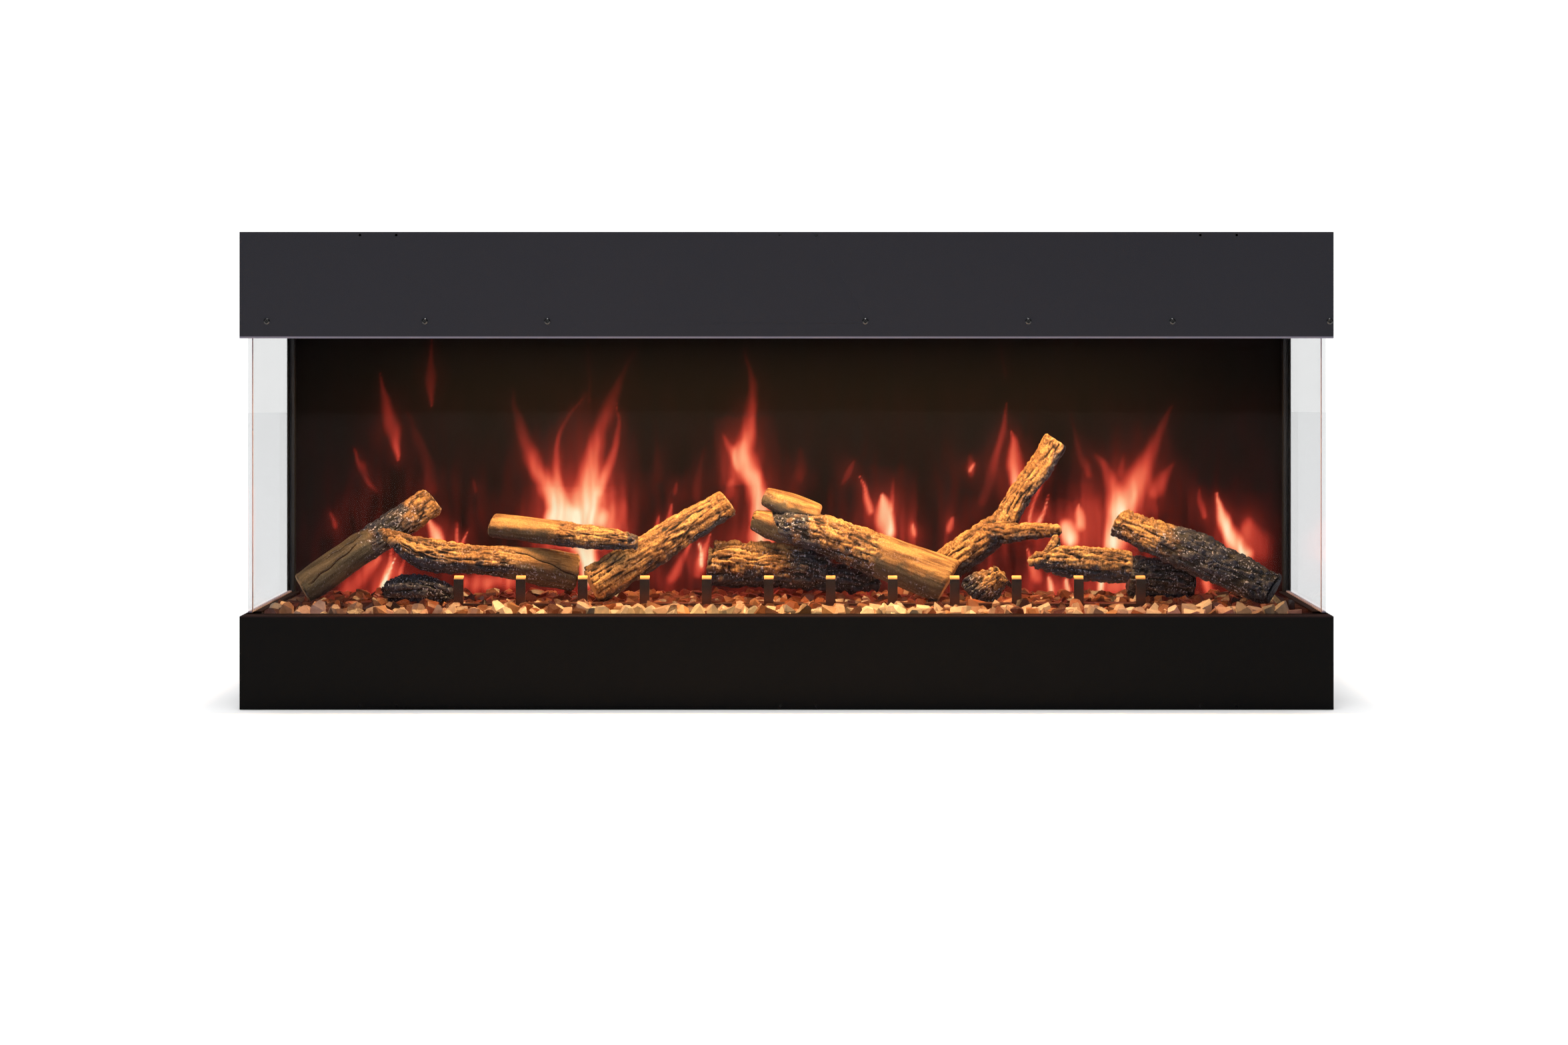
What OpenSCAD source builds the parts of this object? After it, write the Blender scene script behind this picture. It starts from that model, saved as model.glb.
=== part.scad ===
// Three-sided built-in linear electric fireplace with a log set.
// Origin: bottom centre of the bounding box. The front faces -Y and Z is up.

/* [Body] */
// Overall width of the casing
body_w = 1397; // [1200:1:1800]
// Depth from the fascia's front plane to the rear edges
body_d = 367; // [360:1:420]
// Overall height
body_h = 610; // [600:1:720]
// Thickness of the folded steel sheet
sheet = 1.5; // [1:0.5:2]

/* [Fascias] */
// Height of the base below the glass
base_h = 119; // [115:1:130]
// Height of the head above the glass
head_h = 136; // [130:1:150]
// Width of the base's front lip, front plane to glass groove
front_lip = 22; // [20:1:24]
// Width of the base's side lips
side_lip = 16; // [15:1:18]
// Width of the head's folded return under the front
head_return = 8; // [7:1:10]

/* [Glass] */
// Thickness of the three panes
glass_t = 5; // [4:0.5:6]
// Depth of the front pane behind the fascia's front plane
glass_setback = 35; // [34:1:36]
// Depth of the side panes' rear edge behind the front plane
side_glass_end = 258; // [250:1:260]

/* [Flame picture] */
// Thickness of the smoked screen behind the logs
screen_t = 4; // [3:0.5:5]
// Depth of the screen's face behind the front plane
screen_depth = 261.5; // [261.5:0.5:264]
// Swept radius of the rotor's reflecting vanes
vane_r = 28; // [20:1:30]

/* [Grate] */
// Number of upright posts
post_count = 12; // [6:1:14]
// Distance between neighbouring posts
post_pitch = 82.1; // [60:0.1:90]
// Width of one post
post_w = 12.7; // [8:0.1:16]
// Height of the posts' front edge above the floor
post_top = 154; // [145:1:160]

/* [Fixings] */
// Diameter of the pan heads of the fascia screws
screw_head_d = 8; // [7:0.5:9]
// Height of the pan heads
screw_head_h = 2; // [1.5:0.5:2.5]
// Diameter of the trim holes along the fascia edges
trim_hole_d = 3.2; // [3:0.1:4]
// Distance between the two holes of a trim pair
trim_pair = 46.4; // [40:0.1:50]
// Diameter of the four wall-fixing holes in the back
wall_hole_d = 6.5; // [5:0.5:8]

/* [Hidden] */
$fn = 48;

// Main planes
half_w = body_w / 2;
inner_w = half_w - sheet;
front_y = -(body_d - screw_head_h) / 2;
back_y = front_y + body_d;
head_z = body_h - head_h;
wall_y = front_y + sheet;
panel_y = back_y - 3.5;

// Glass planes
pane_y = front_y + glass_setback;
pane_back = pane_y + glass_t;
side_in = inner_w - 0.5 - glass_t;
side_out = inner_w - 0.5;
side_end = front_y + side_glass_end;
groove_y = front_y + front_lip;
stop_y = front_y + 49;

// Fire bed levels
tray_z = 98;
tray_t = 3;
bed_z = 116;
screen_y = front_y + screen_depth;
ceiling_z = head_z;

// Trim holes
trim_x = [-521.5, 15, 551.5];
trim_edge = 4;

// Fascia screws
screw_x = [-663.5, -461.8, -305.4, 100.7, 308.7, 492.7, 693.5];
screw_z = head_z + 21.7;

// Grate
grate_x = 16;
grate_y = front_y + 102.5;
grate_t = 3;

// Rotor axis
rotor_y = 140;
rotor_z = 95;
rod_r = 3;
fit = 0.05;

// Blower axis and heater
blower_y = -60;
blower_z = 548;
wheel_r = 28;
scroll_r = 34;
shaft_r = 2.5;
heater_half = 180;
skin = 1.2;

// Controls
panel_x = 594;
panel_mid_y = -165;
rocker_x = 566;
button_x = [600, 622];
grille_z = 482;
grille_w = 1392;
rocker_tilt = 8;

// Power entry
gland_x = -595;
gland_z = 540;
gland_bore_d = 8;

// Wall-fixing holes
wall_dx = 900;
wall_dz = 500;
wall_mid_z = 310;

// ---------------------------------------------------------------- helpers

// A box between two corners
module span(a, b) {
    translate(a) cube(b - a);
}

// A round rod between two points
module rod(a, b, r) {
    v = b - a;
    translate(a)
        rotate([0, acos(v.z / norm(v)), atan2(v.y, v.x)])
            cylinder(h = norm(v), r = r);
}

// A prism between two points with a flat-sided outline
module timber(a, b, outline) {
    v = b - a;
    translate(a)
        rotate([0, 0, atan2(v.y, v.x)])
            rotate([0, 90 - asin(v.z / norm(v)), 0])
                linear_extrude(norm(v)) polygon(outline);
}

// A drill along Y, through everything near the given plane
module drill_y(x, y, z, d, depth = 8) {
    translate([x, y - depth / 2, z]) rotate([-90, 0, 0])
        cylinder(h = depth, d = d);
}

// Both left and right copies of a piece
module both_sides() {
    children();
    mirror([1, 0, 0]) children();
}

// A two-dimensional YZ outline drawn out along X
module along_x(x0, x1) {
    translate([x0, 0, 0]) rotate([90, 0, 90])
        linear_extrude(x1 - x0) children();
}

// A pan-head screw along Y, its head at the given plane, facing -Y
module pan_screw(x, y, z, shank, head_h = screw_head_h) {
    translate([x, y, z]) rotate([90, 0, 0])
        difference() {
            union() {
                cylinder(h = head_h * 0.45, d = screw_head_d);
                translate([0, 0, head_h * 0.45])
                    cylinder(h = head_h * 0.55, d1 = screw_head_d,
                             d2 = screw_head_d * 0.62);
                translate([0, 0, -shank]) cylinder(h = shank, d = 3.8);
            }
            for (turn = [0, 90]) rotate(turn)
                translate([-2.2, -0.45, head_h * 0.4])
                    cube([4.4, 0.9, head_h]);
        }
}

// Trim hole pairs along a front edge
module trim_holes(z) {
    for (x = trim_x, side = [-1, 1])
        drill_y(x + side * trim_pair / 2, front_y, z, trim_hole_d);
}

// ----------------------------------------------------------------- casing

module base_pan() color([0.16, 0.16, 0.17]) difference() {
    union() {
        span([-inner_w, wall_y, 0], [inner_w, back_y, sheet]);
        both_sides()
            span([inner_w - sheet, wall_y + 6, sheet],
                 [inner_w, panel_y, 14]);
    }
    for (x = [440:24:656])
        span([x, 110, -1], [x + 6, 170, sheet + 1]);
}

module lower_fascia() color([0.1, 0.1, 0.105]) difference() {
    union() {
        span([-half_w, front_y, 0], [half_w, wall_y, base_h]);
        both_sides()
            span([inner_w, wall_y, 0], [half_w, back_y, base_h]);
        span([-inner_w, wall_y, base_h - sheet],
             [inner_w, groove_y, base_h]);
        both_sides()
            span([half_w - side_lip, stop_y, base_h - sheet],
                 [inner_w, side_end, base_h]);
    }
    trim_holes(trim_edge);
}

module upper_fascia() color([0.18, 0.185, 0.21]) difference() {
    union() {
        span([-half_w, front_y, head_z], [half_w, wall_y, body_h]);
        both_sides()
            span([inner_w, wall_y, head_z], [half_w, back_y, body_h]);
        span([-inner_w, wall_y, head_z],
             [inner_w, front_y + head_return, head_z + sheet]);
    }
    trim_holes(body_h - trim_edge);
    for (x = screw_x) drill_y(x, front_y, screw_z, 4.2);
}

module top_cover() color([0.17, 0.17, 0.18]) difference() {
    span([-inner_w, wall_y, body_h - sheet], [inner_w, back_y, body_h]);
    for (x = [-168:16:160], y = [-130, -70, -10])
        span([x, y, body_h - 5], [x + 5, y + 45, body_h + 1]);
}

module back_panel() color([0.42, 0.43, 0.44]) difference() {
    span([-inner_w, panel_y, sheet],
         [inner_w, panel_y + sheet, body_h - sheet]);
    for (x = [-1, 1], z = [-1, 1])
        drill_y(x * wall_dx / 2, panel_y, wall_mid_z + z * wall_dz / 2,
                wall_hole_d);
    drill_y(gland_x, panel_y, gland_z, 19);
    for (x = [-150:20:140], z = [520, 552])
        span([x, panel_y - 1, z], [x + 8, panel_y + 4, z + 22]);
    for (p = case_screw_places) drill_y(p.x, panel_y, p.y, 4.2);
}

module rear_side() {
    span([inner_w, side_end + 2, base_h], [half_w, back_y, head_z]);
    span([half_w - 10.5, side_end + 2, base_h],
         [inner_w, screen_y, head_z]);
}

module rear_side_right() color([0.13, 0.13, 0.14]) rear_side();

module rear_side_left() color([0.13, 0.13, 0.14])
    mirror([1, 0, 0]) rear_side();

module side_channels() color([0.06, 0.06, 0.065]) both_sides()
    difference() {
        span([half_w - 11, side_end - 8, base_h],
             [half_w - 0.5, side_end + 2, head_z]);
        span([side_in, side_end - 9, base_h - 1],
             [side_out, side_end, head_z + 1]);
    }

case_screw_places = concat(
    [for (x = [-640, -320, 0, 320, 640]) [x, 12]],
    [for (x = [-660, -320, 0, 320, 660]) [x, body_h - 12]],
    [for (x = [-685, 685], z = [180, 400]) [x, z]]
);

module case_screws() color([0.25, 0.25, 0.26])
    for (p = case_screw_places)
        mirror([0, 1, 0])
            pan_screw(p.x, -(panel_y + sheet), p.y, 6, screw_head_h - 0.2);

module fascia_screws() color([0.2, 0.2, 0.21])
    for (x = screw_x) pan_screw(x, front_y, screw_z, 7);

// ------------------------------------------------------------------ glass

glass_low = 98;
glass_high = head_z + 16;

module front_glass() color([0.85, 0.9, 0.93, 0.25])
    span([-side_in + 0.5, pane_y, glass_low],
         [side_in - 0.5, pane_back, glass_high]);

module side_pane() span([side_in, pane_y, base_h + 1.5],
                        [side_out, side_end, glass_high]);

module side_glass_right() color([0.85, 0.9, 0.93, 0.25]) difference() {
    side_pane();
    span([side_in - 1, side_end - 9, head_z],
         [side_out + 1, side_end + 1, glass_high + 1]);
}

module side_glass_left() mirror([1, 0, 0]) side_glass_right();

// Corner beads, side gaskets and the strip over the front pane's top edge
module glass_seals() color([0.1, 0.1, 0.11]) {
    both_sides() {
        span([side_in - 0.5, pane_y + 0.5, base_h + 1.5],
             [side_in, pane_back, head_z]);
        span([side_in, pane_y, base_h],
             [side_out, side_end, base_h + 1.5]);
    }
    span([-side_in + 2, pane_y - 2, grille_z + 4],
         [side_in - 2, pane_y, glass_high - 2]);
}

module glass_track() color([0.05, 0.05, 0.055]) along_x(-side_in, side_in)
    polygon([
        [groove_y - sheet, base_h - sheet], [groove_y - sheet, 93.5],
        [stop_y, 93.5], [stop_y, bed_z],
        [stop_y - sheet, bed_z], [stop_y - sheet, 95],
        [groove_y, 95], [groove_y, base_h - sheet]
    ]);

module glass_shoe() color([0.03, 0.03, 0.03]) difference() {
    span([-side_in + 1, pane_y - 3, 95], [side_in - 1, pane_back + 3, 108]);
    span([-side_in, pane_y, glass_low], [side_in, pane_back, 120]);
}

// --------------------------------------------------------- head internals

// Angle behind the head: slotted floor for the warm air, screwed to the
// fascia, with a rear leg that holds the front pane's top edge
module outlet_grille() color([0.08, 0.08, 0.085]) difference() {
    union() {
        span([-grille_w / 2, wall_y, grille_z],
             [grille_w / 2, wall_y + sheet, grille_z + 22]);
        span([-grille_w / 2, wall_y, grille_z],
             [grille_w / 2, pane_y - 2, grille_z + sheet]);
        span([-grille_w / 2, pane_y - 2 - sheet, grille_z],
             [grille_w / 2, pane_y - 2, glass_high]);
    }
    for (x = screw_x) drill_y(x, wall_y, screw_z, 3.9);
    for (x = [-172:8:166])
        span([x, -174, grille_z - 1], [x + 5, -156, grille_z + 3]);
    span([panel_x - 42, panel_mid_y - 8, grille_z - 1],
         [panel_x + 42, panel_mid_y + 8, grille_z + 3]);
}

lens_y = [-126, -74];

module firebox_ceiling() color([0.12, 0.12, 0.125]) difference() {
    union() {
        span([-side_in, pane_back, ceiling_z],
             [side_in, screen_y, ceiling_z + sheet]);
        span([-side_in, pane_back, ceiling_z + sheet],
             [side_in, pane_back + sheet, glass_high]);
        span([-side_in, screen_y - sheet, ceiling_z + sheet],
             [side_in, screen_y, glass_high]);
        both_sides() span([side_in - sheet, pane_back, ceiling_z],
                          [side_in, screen_y, glass_high]);
        for (x = [-500, 500]) {
            span([x, 52, ceiling_z + sheet],
                 [x + sheet, 76, body_h - sheet]);
            span([x, 52, body_h - 2 * sheet],
                 [x + 18, 76, body_h - sheet]);
        }
    }
    span([-600, lens_y[0] + 6, ceiling_z - 1],
         [600, lens_y[1] - 6, ceiling_z + 3]);
}

module canopy_lens() color([0.95, 0.9, 0.8, 0.6])
    span([-606, lens_y[0], ceiling_z + sheet],
         [606, lens_y[1], ceiling_z + sheet + 3]);

// Folded hat carrying the downlight board and its light-emitting diodes
module canopy_light() color([0.8, 0.8, 0.75]) {
    low = ceiling_z + sheet + 3;
    difference() {
        span([-606, lens_y[0], low], [606, lens_y[1], low + 20]);
        span([-604.5, lens_y[0] + sheet, low - 1],
             [604.5, lens_y[1] - sheet, low + 18.5]);
    }
    span([-600, -112, low + 16.9], [600, -88, low + 18.5]);
    for (x = [-588:42:588])
        span([x - 2.5, -102.5, low + 15.3], [x + 2.5, -97.5, low + 16.9]);
}

// Circle points in the YZ plane for the blower's scroll
function scroll_points(r, from, to) = [
    for (a = [from:(to - from) / 24:to])
        [blower_y + r * cos(a), blower_z + r * sin(a)]
];

module heater_housing() color([0.62, 0.64, 0.66]) {
    front = wall_y + sheet;
    duct_back = pane_y - 2 - sheet;
    floor_z = blower_z - scroll_r;
    roof_z = 572;
    throat_y = -96;
    shell = concat(
        scroll_points(scroll_r, -90, 60),
        [for (p = scroll_points(scroll_r + skin, 60, -90)) p]
    );
    along_x(-heater_half, heater_half) {
        polygon(shell);
        polygon([[blower_y, floor_z], [duct_back - skin, floor_z],
                 [duct_back - skin, grille_z + sheet],
                 [duct_back, grille_z + sheet],
                 [duct_back, floor_z - skin], [blower_y, floor_z - skin]]);
    }
    difference() {
        along_x(-heater_half, heater_half)
            polygon([[front, grille_z + sheet],
                     [front + skin, grille_z + sheet],
                     [front + skin, roof_z - skin], [throat_y, roof_z - skin],
                     [throat_y + 3, roof_z - 8], [throat_y + 4.2, roof_z - 8],
                     [throat_y + 1, roof_z], [front, roof_z]]);
        drill_y(screw_x[3], front, screw_z, 4.6);
    }
    both_sides() difference() {
        along_x(heater_half, heater_half + skin)
            polygon([[front, grille_z + sheet],
                     [duct_back, grille_z + sheet],
                     [duct_back, floor_z - skin],
                     [blower_y, floor_z - skin], [-24, 524], [-24, 584],
                     [-92, 584], [-100, roof_z], [front, roof_z]]);
        rod([heater_half - 1, blower_y, blower_z],
            [heater_half + 3, blower_y, blower_z], shaft_r + fit);
    }
}

// Tangential wheel: three discs, a ring of slats and the shaft ends
module blower_wheel() color([0.55, 0.56, 0.58]) {
    slats = 24;
    ring_r = wheel_r - 4;
    for (x = [-170, -1, 168])
        rod([x, blower_y, blower_z], [x + 2, blower_y, blower_z], wheel_r);
    for (i = [0:slats - 1])
        translate([0, blower_y, blower_z]) rotate([i * 360 / slats, 0, 0])
            translate([0, 0, ring_r]) rotate([25, 0, 0])
                span([-168, -0.4, -3.4], [168, 0.4, 3.4]);
    rod([-188, blower_y, blower_z], [-170, blower_y, blower_z], shaft_r);
    rod([170, blower_y, blower_z], [212, blower_y, blower_z], shaft_r);
}

// Shaded-pole motor: laminated stack, coil and a bearing bridge
module blower_motor() color([0.45, 0.4, 0.33]) {
    x0 = heater_half + skin;
    difference() {
        union() {
            span([x0, blower_y - 24, blower_z - 3],
                 [x0 + 2, blower_y + 24, blower_z + 3]);
            both_sides_y(blower_y)
                span([x0, blower_y + 18, blower_z - 3],
                     [x0 + 10, blower_y + 24, blower_z + 3]);
            span([x0 + 8, blower_y - 26, blower_z - 22],
                 [x0 + 26, blower_y + 26, blower_z + 28]);
            span([x0 + 4, blower_y - 18, blower_z - 38],
                 [x0 + 30, blower_y + 18, blower_z - 22]);
        }
        rod([x0 - 1, blower_y, blower_z],
            [x0 + 28, blower_y, blower_z], shaft_r + fit);
    }
}

// A piece and its mirror image across a plane of constant Y
module both_sides_y(y) {
    children();
    translate([0, 2 * y, 0]) mirror([0, 1, 0]) children();
}

module heating_element() color([0.75, 0.68, 0.55]) {
    low = blower_z - scroll_r;
    high = 572 - skin;
    difference() {
        span([-178, -132, low], [178, -118, high]);
        span([-172, -133, low + 4], [172, -117, high - 4]);
    }
    for (z = [low + 12:10:high - 8])
        span([-172, -127, z], [172, -123, z + 2]);
    for (x = [-150:30:150])
        span([x - 1, -130, low + 4], [x + 1, -120, high - 4]);
}

module thermal_cutout() color([0.2, 0.2, 0.2]) {
    translate([100, -140, 572]) cylinder(h = 7, d = 16);
    span([86, -143, 572], [114, -137, 573]);
    for (x = [96, 104]) span([x - 2, -140.4, 579], [x + 2, -139.6, 587]);
}

// Printed circuit board on standoffs, with relays, transformer and plugs
module control_board() color([0.1, 0.35, 0.16]) {
    low = ceiling_z + sheet;
    board = low + 14;
    for (x = [-442, -258], y = [-32, 52])
        translate([x, y, low]) cylinder(h = 14, d = 8);
    span([-450, -40, board], [-250, 60, board + 1.6]);
    for (x = [-430, -405, -380])
        span([x, -30, board + 1.6], [x + 19, -14, board + 17]);
    span([-350, -28, board + 1.6], [-305, 12, board + 34]);
    translate([-285, -15, board + 1.6]) cylinder(h = 25, d = 16);
    span([-450, 10, board + 1.6], [-440, 30, board + 14]);
    span([-260, 10, board + 1.6], [-250, 50, board + 14]);
}

// Bezel for the rocker and the two buttons, facing down beside the grille
module control_panel() color([0.07, 0.07, 0.07]) difference() {
    union() {
        span([panel_x - 46, panel_mid_y - 9, grille_z - 4],
             [panel_x + 46, panel_mid_y + 11, grille_z]);
        span([panel_x - 41.5, panel_mid_y - 7.5, grille_z],
             [panel_x + 41.5, panel_mid_y + 7.5, grille_z + 18]);
    }
    span([rocker_x - 10.2, panel_mid_y - 5.4, grille_z - 5],
         [rocker_x + 10.2, panel_mid_y + 5.4, grille_z + 12]);
    rod([rocker_x, panel_mid_y - 6.8, grille_z + 2],
        [rocker_x, panel_mid_y + 6.8, grille_z + 2], 1 + fit);
    for (x = button_x) translate([x, panel_mid_y, 0]) {
        translate([0, 0, grille_z - 5]) cylinder(h = 20, r = 4.35);
        translate([0, 0, grille_z + 1.6]) cylinder(h = 9, r = 5.6);
    }
}

// Two-position rocker, drawn tipped to its off side, on its own pin
module power_rocker() color([0.55, 0.06, 0.05])
    translate([rocker_x, panel_mid_y, grille_z + 2])
        rotate([0, rocker_tilt, 0]) {
            translate([0, 5, 0]) rotate([90, 0, 0]) linear_extrude(10)
                polygon([[-8.8, -7], [0, -5.2], [8.8, -7], [8.8, -1],
                         [4, 3], [-4, 3], [-8.8, -1]]);
            rod([0, -6.4, 0], [0, 6.4, 0], 1);
        }

module push_button(x) translate([x, panel_mid_y, 0]) {
    translate([0, 0, grille_z - 6]) cylinder(h = 8, r = 4);
    translate([0, 0, grille_z + 2]) cylinder(h = 1.6, r = 5.2);
}

module heat_button() color([0.75, 0.75, 0.76]) push_button(button_x[0]);

module flame_button() color([0.75, 0.75, 0.76]) push_button(button_x[1]);

box_x = [-650, -540];
box_y = 121;
box_z = [500, 580];

module junction_box() color([0.5, 0.51, 0.52]) difference() {
    span([box_x[0], box_y, box_z[0]], [box_x[1], panel_y, box_z[1]]);
    span([box_x[0] + skin, box_y - 1, box_z[0] + skin],
         [box_x[1] - skin, panel_y - skin, box_z[1] - skin]);
    drill_y(gland_x, panel_y, gland_z, 19);
    rod([box_x[1] - 3, 150, gland_z], [box_x[1] + 3, 150, gland_z], 4);
}

module junction_cover() color([0.5, 0.51, 0.52])
    span([box_x[0], box_y - skin, box_z[0]],
         [box_x[1], box_y, box_z[1]]);

module cable_gland() color([0.1, 0.1, 0.1])
    translate([gland_x, 0, gland_z]) difference() {
        union() {
            translate([0, panel_y + sheet, 0]) rotate([-90, 0, 0])
                cylinder(h = 2, r = 13);
            translate([0, 168, 0]) rotate([-90, 0, 0])
                cylinder(h = panel_y + sheet - 168, r = 9);
            translate([0, panel_y - skin - 6, 0]) rotate([-90, 0, 0])
                cylinder(h = 6, r = 12.5, $fn = 6);
        }
        translate([0, 160, 0]) rotate([-90, 0, 0])
            cylinder(h = 30, d = gland_bore_d);
    }

// One wire bundle: straight runs with a ball at each bend
module wire(points, r = 2.5) {
    for (i = [0:len(points) - 2]) rod(points[i], points[i + 1], r);
    for (i = [1:len(points) - 2]) translate(points[i]) sphere(r = r * 1.1);
}

module wiring_harness() color([0.12, 0.12, 0.14]) {
    // Mains lead from the junction box to the board
    wire([[-548, 150, gland_z], [-480, 150, gland_z], [-480, 20, gland_z],
          [-480, 20, 498], [-450, 20, 498]]);
    // Heater and blower lead
    wire([[-250, 20, 498], [-215, 20, 498], [-215, 20, 540],
          [-215, -40, 540], [-heater_half - skin, -40, 540]]);
    // Control lead to the bezel
    wire([[-250, 40, 498], [560, 40, 498], [560, 40, 530],
          [594, -160, 530], [594, -160, grille_z + 18]]);
    // Lead down the left rear corner to the flame and ember lights
    wire([[-420, 56, 493.7], [-420, 100, 493.7], [-670, 100, 493.7],
          [-670, 160, 24], [-634, 160, 24], [-634, 141, 24]]);
}

// ---------------------------------------------------------------- fire bed

module media_tray() color([0.85, 0.85, 0.85, 0.4]) {
    edge = half_w - side_lip;
    span([-edge, stop_y, tray_z], [edge, screen_y, tray_z + tray_t]);
    both_sides() span([edge - sheet, stop_y, tray_z + tray_t],
                      [edge, screen_y, base_h - sheet]);
}

module tray_rails() color([0.5, 0.5, 0.52]) {
    along_x(-660, 660) polygon([
        [stop_y + 3, sheet], [stop_y + 23, sheet],
        [stop_y + 23, 2 * sheet], [stop_y + 4.5, 2 * sheet],
        [stop_y + 4.5, tray_z - sheet], [stop_y + 23, tray_z - sheet],
        [stop_y + 23, tray_z], [stop_y, tray_z],
        [stop_y, tray_z - sheet], [stop_y + 3, tray_z - sheet]
    ]);
    along_x(-660, 660) polygon([
        [screen_y - 20, sheet], [screen_y, sheet],
        [screen_y, tray_z - sheet], [screen_y + 7, tray_z - sheet],
        [screen_y + 7, tray_z], [screen_y - 20, tray_z],
        [screen_y - 20, tray_z - sheet], [screen_y - sheet, tray_z - sheet],
        [screen_y - sheet, 2 * sheet], [screen_y - 20, 2 * sheet]
    ]);
}

module media_bed() color([0.85, 0.6, 0.4]) {
    edge = half_w - side_lip - sheet;
    span([-edge, stop_y, tray_z + tray_t], [edge, screen_y, bed_z]);
}

// Aluminium section with a foot, a web and a shelf for the diodes
module light_strip(x0, x1, y, shelf_z) {
    along_x(x0, x1) polygon([
        [y - 12, sheet], [y + 12, sheet], [y + 12, 3.5], [y + 1, 3.5],
        [y + 1, shelf_z - 2], [y + 12, shelf_z - 2], [y + 12, shelf_z],
        [y - 12, shelf_z], [y - 12, shelf_z - 2], [y - 1, shelf_z - 2],
        [y - 1, 3.5], [y - 12, 3.5]
    ]);
    for (x = [x0 + 20:40:x1 - 10])
        span([x - 2.5, y - 2.5, shelf_z], [x + 2.5, y + 2.5, shelf_z + 1.6]);
}

module ember_light() color([0.85, 0.6, 0.3])
    light_strip(-640, 640, -40, 70);

module flame_light() color([0.85, 0.4, 0.3])
    light_strip(-640, 540, rotor_y, 46);

function post_x(i) = grate_x + (i - (post_count - 1) / 2) * post_pitch;

module log_grate() color([0.12, 0.09, 0.07]) {
    strip_z = 119;
    reach = (post_count - 1) / 2 * post_pitch + post_w;
    span([grate_x - reach, grate_y, strip_z],
         [grate_x + reach, grate_y + 18, strip_z + grate_t]);
    for (i = [0, 3, 5, 8, 11])
        span([post_x(i) - post_w / 2, grate_y, bed_z],
             [post_x(i) + post_w / 2, grate_y + grate_t, strip_z]);
    for (i = [0:post_count - 1])
        along_x(post_x(i) - post_w / 2, post_x(i) + post_w / 2)
            translate([grate_y, 0]) polygon([
                [0, strip_z + 1], [0, post_top], [6.5, post_top + 4.5],
                [8.2, post_top + 2], [grate_t, post_top - 1.6],
                [grate_t, strip_z + 1]
            ]);
}

// -------------------------------------------------------------------- logs

module log_left_long() color([0.3, 0.25, 0.2])
    rod([-649, -32, 138], [-489, 22, 249], 21);

module log_left_split() color([0.5, 0.35, 0.18])
    timber([-520, -42, 191], [-292, 12, 152],
           [[-24, -14], [-8, -26], [22, -18], [26, 10], [6, 26], [-20, 16]]);

module log_char_left() color([0.12, 0.12, 0.14])
    timber([-537, -33, 136], [-453, -30, 134],
           [[-16, -18], [14, -20], [17, 8], [4, 20], [-14, 14]]);

module log_top_left() color([0.7, 0.5, 0.25])
    rod([-400, 8, 217], [-206, -58, 204], 17);

module log_centre_left() color([0.62, 0.44, 0.22])
    rod([-259, -37, 142], [-86, 8, 246], 23);

module log_char_block() color([0.2, 0.15, 0.12]) {
    rod([-104, 18, 168], [52, 18, 156], 27);
    rod([45, 18, 146], [120, 18, 140], 14);
}

module log_centre_right() color([0.62, 0.44, 0.22])
    rod([-28, 2, 236], [213, -40, 148], 28);

module log_forked() color([0.55, 0.4, 0.2]) {
    fork = [292, 24, 214];
    rod([192, 24, 144], fork, 23);
    rod(fork, [368, 32, 328], 16);
    rod(fork, [363, -10, 211], 10);
    translate(fork) sphere(r = 24.5);
}

module log_chip_right() color([0.35, 0.25, 0.15])
    translate([272, -30, bed_z]) rotate([90, 0, 0]) linear_extrude(30)
        polygon([[-28, 0], [28, 0], [24, 34], [10, 58], [-24, 26]]);

module log_bark_slab() color([0.45, 0.33, 0.18])
    timber([324, -60, 177], [456, -54, 173],
           [[-15, -20], [12, -25], [17, 10], [6, 24], [-14, 20]]);

module log_char_right() color([0.1, 0.1, 0.12])
    span([468, -6, bed_z], [550, 36, 170]);

module log_right_long() color([0.15, 0.14, 0.15])
    rod([455, 8, 221], [638, -80, 143], 22);

// ----------------------------------------------------------- flame picture

module flame_screen() color([0.08, 0.06, 0.06])
    span([-side_out, screen_y, tray_z],
         [side_out, screen_y + screen_t, glass_high]);

// One tongue-shaped slot, drawn from its foot
function tongue(w, h) = concat(
    [for (k = [0:12]) [w * sin(180 * pow(k / 12, 0.6)) / 2
                       + w * 0.3 * sin(360 * k / 12), h * k / 12]],
    [for (k = [11:-1:1]) [-w * sin(180 * pow(k / 12, 0.6)) / 2
                          + w * 0.3 * sin(360 * k / 12), h * k / 12]]
);

module flame_cutout() color([0.7, 0.7, 0.72]) difference() {
    union() {
        span([-640, 104, sheet], [640, 105.2, 420]);
        span([-640, 92, sheet], [640, 104, 2.7]);
    }
    for (i = [0:13])
        translate([-585 + 90 * i, 110, 112 + 14 * sin(i * 130)])
            rotate([90, 0, 0]) linear_extrude(10)
                polygon(tongue(34, 150 + 70 * sin(i * 77)));
}

module rotor_rod() color([0.7, 0.7, 0.72]) {
    rod([-652, rotor_y, rotor_z], [560, rotor_y, rotor_z], rod_r);
    rod([561, rotor_y, rotor_z], [589, rotor_y, rotor_z], rod_r);
}

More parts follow.
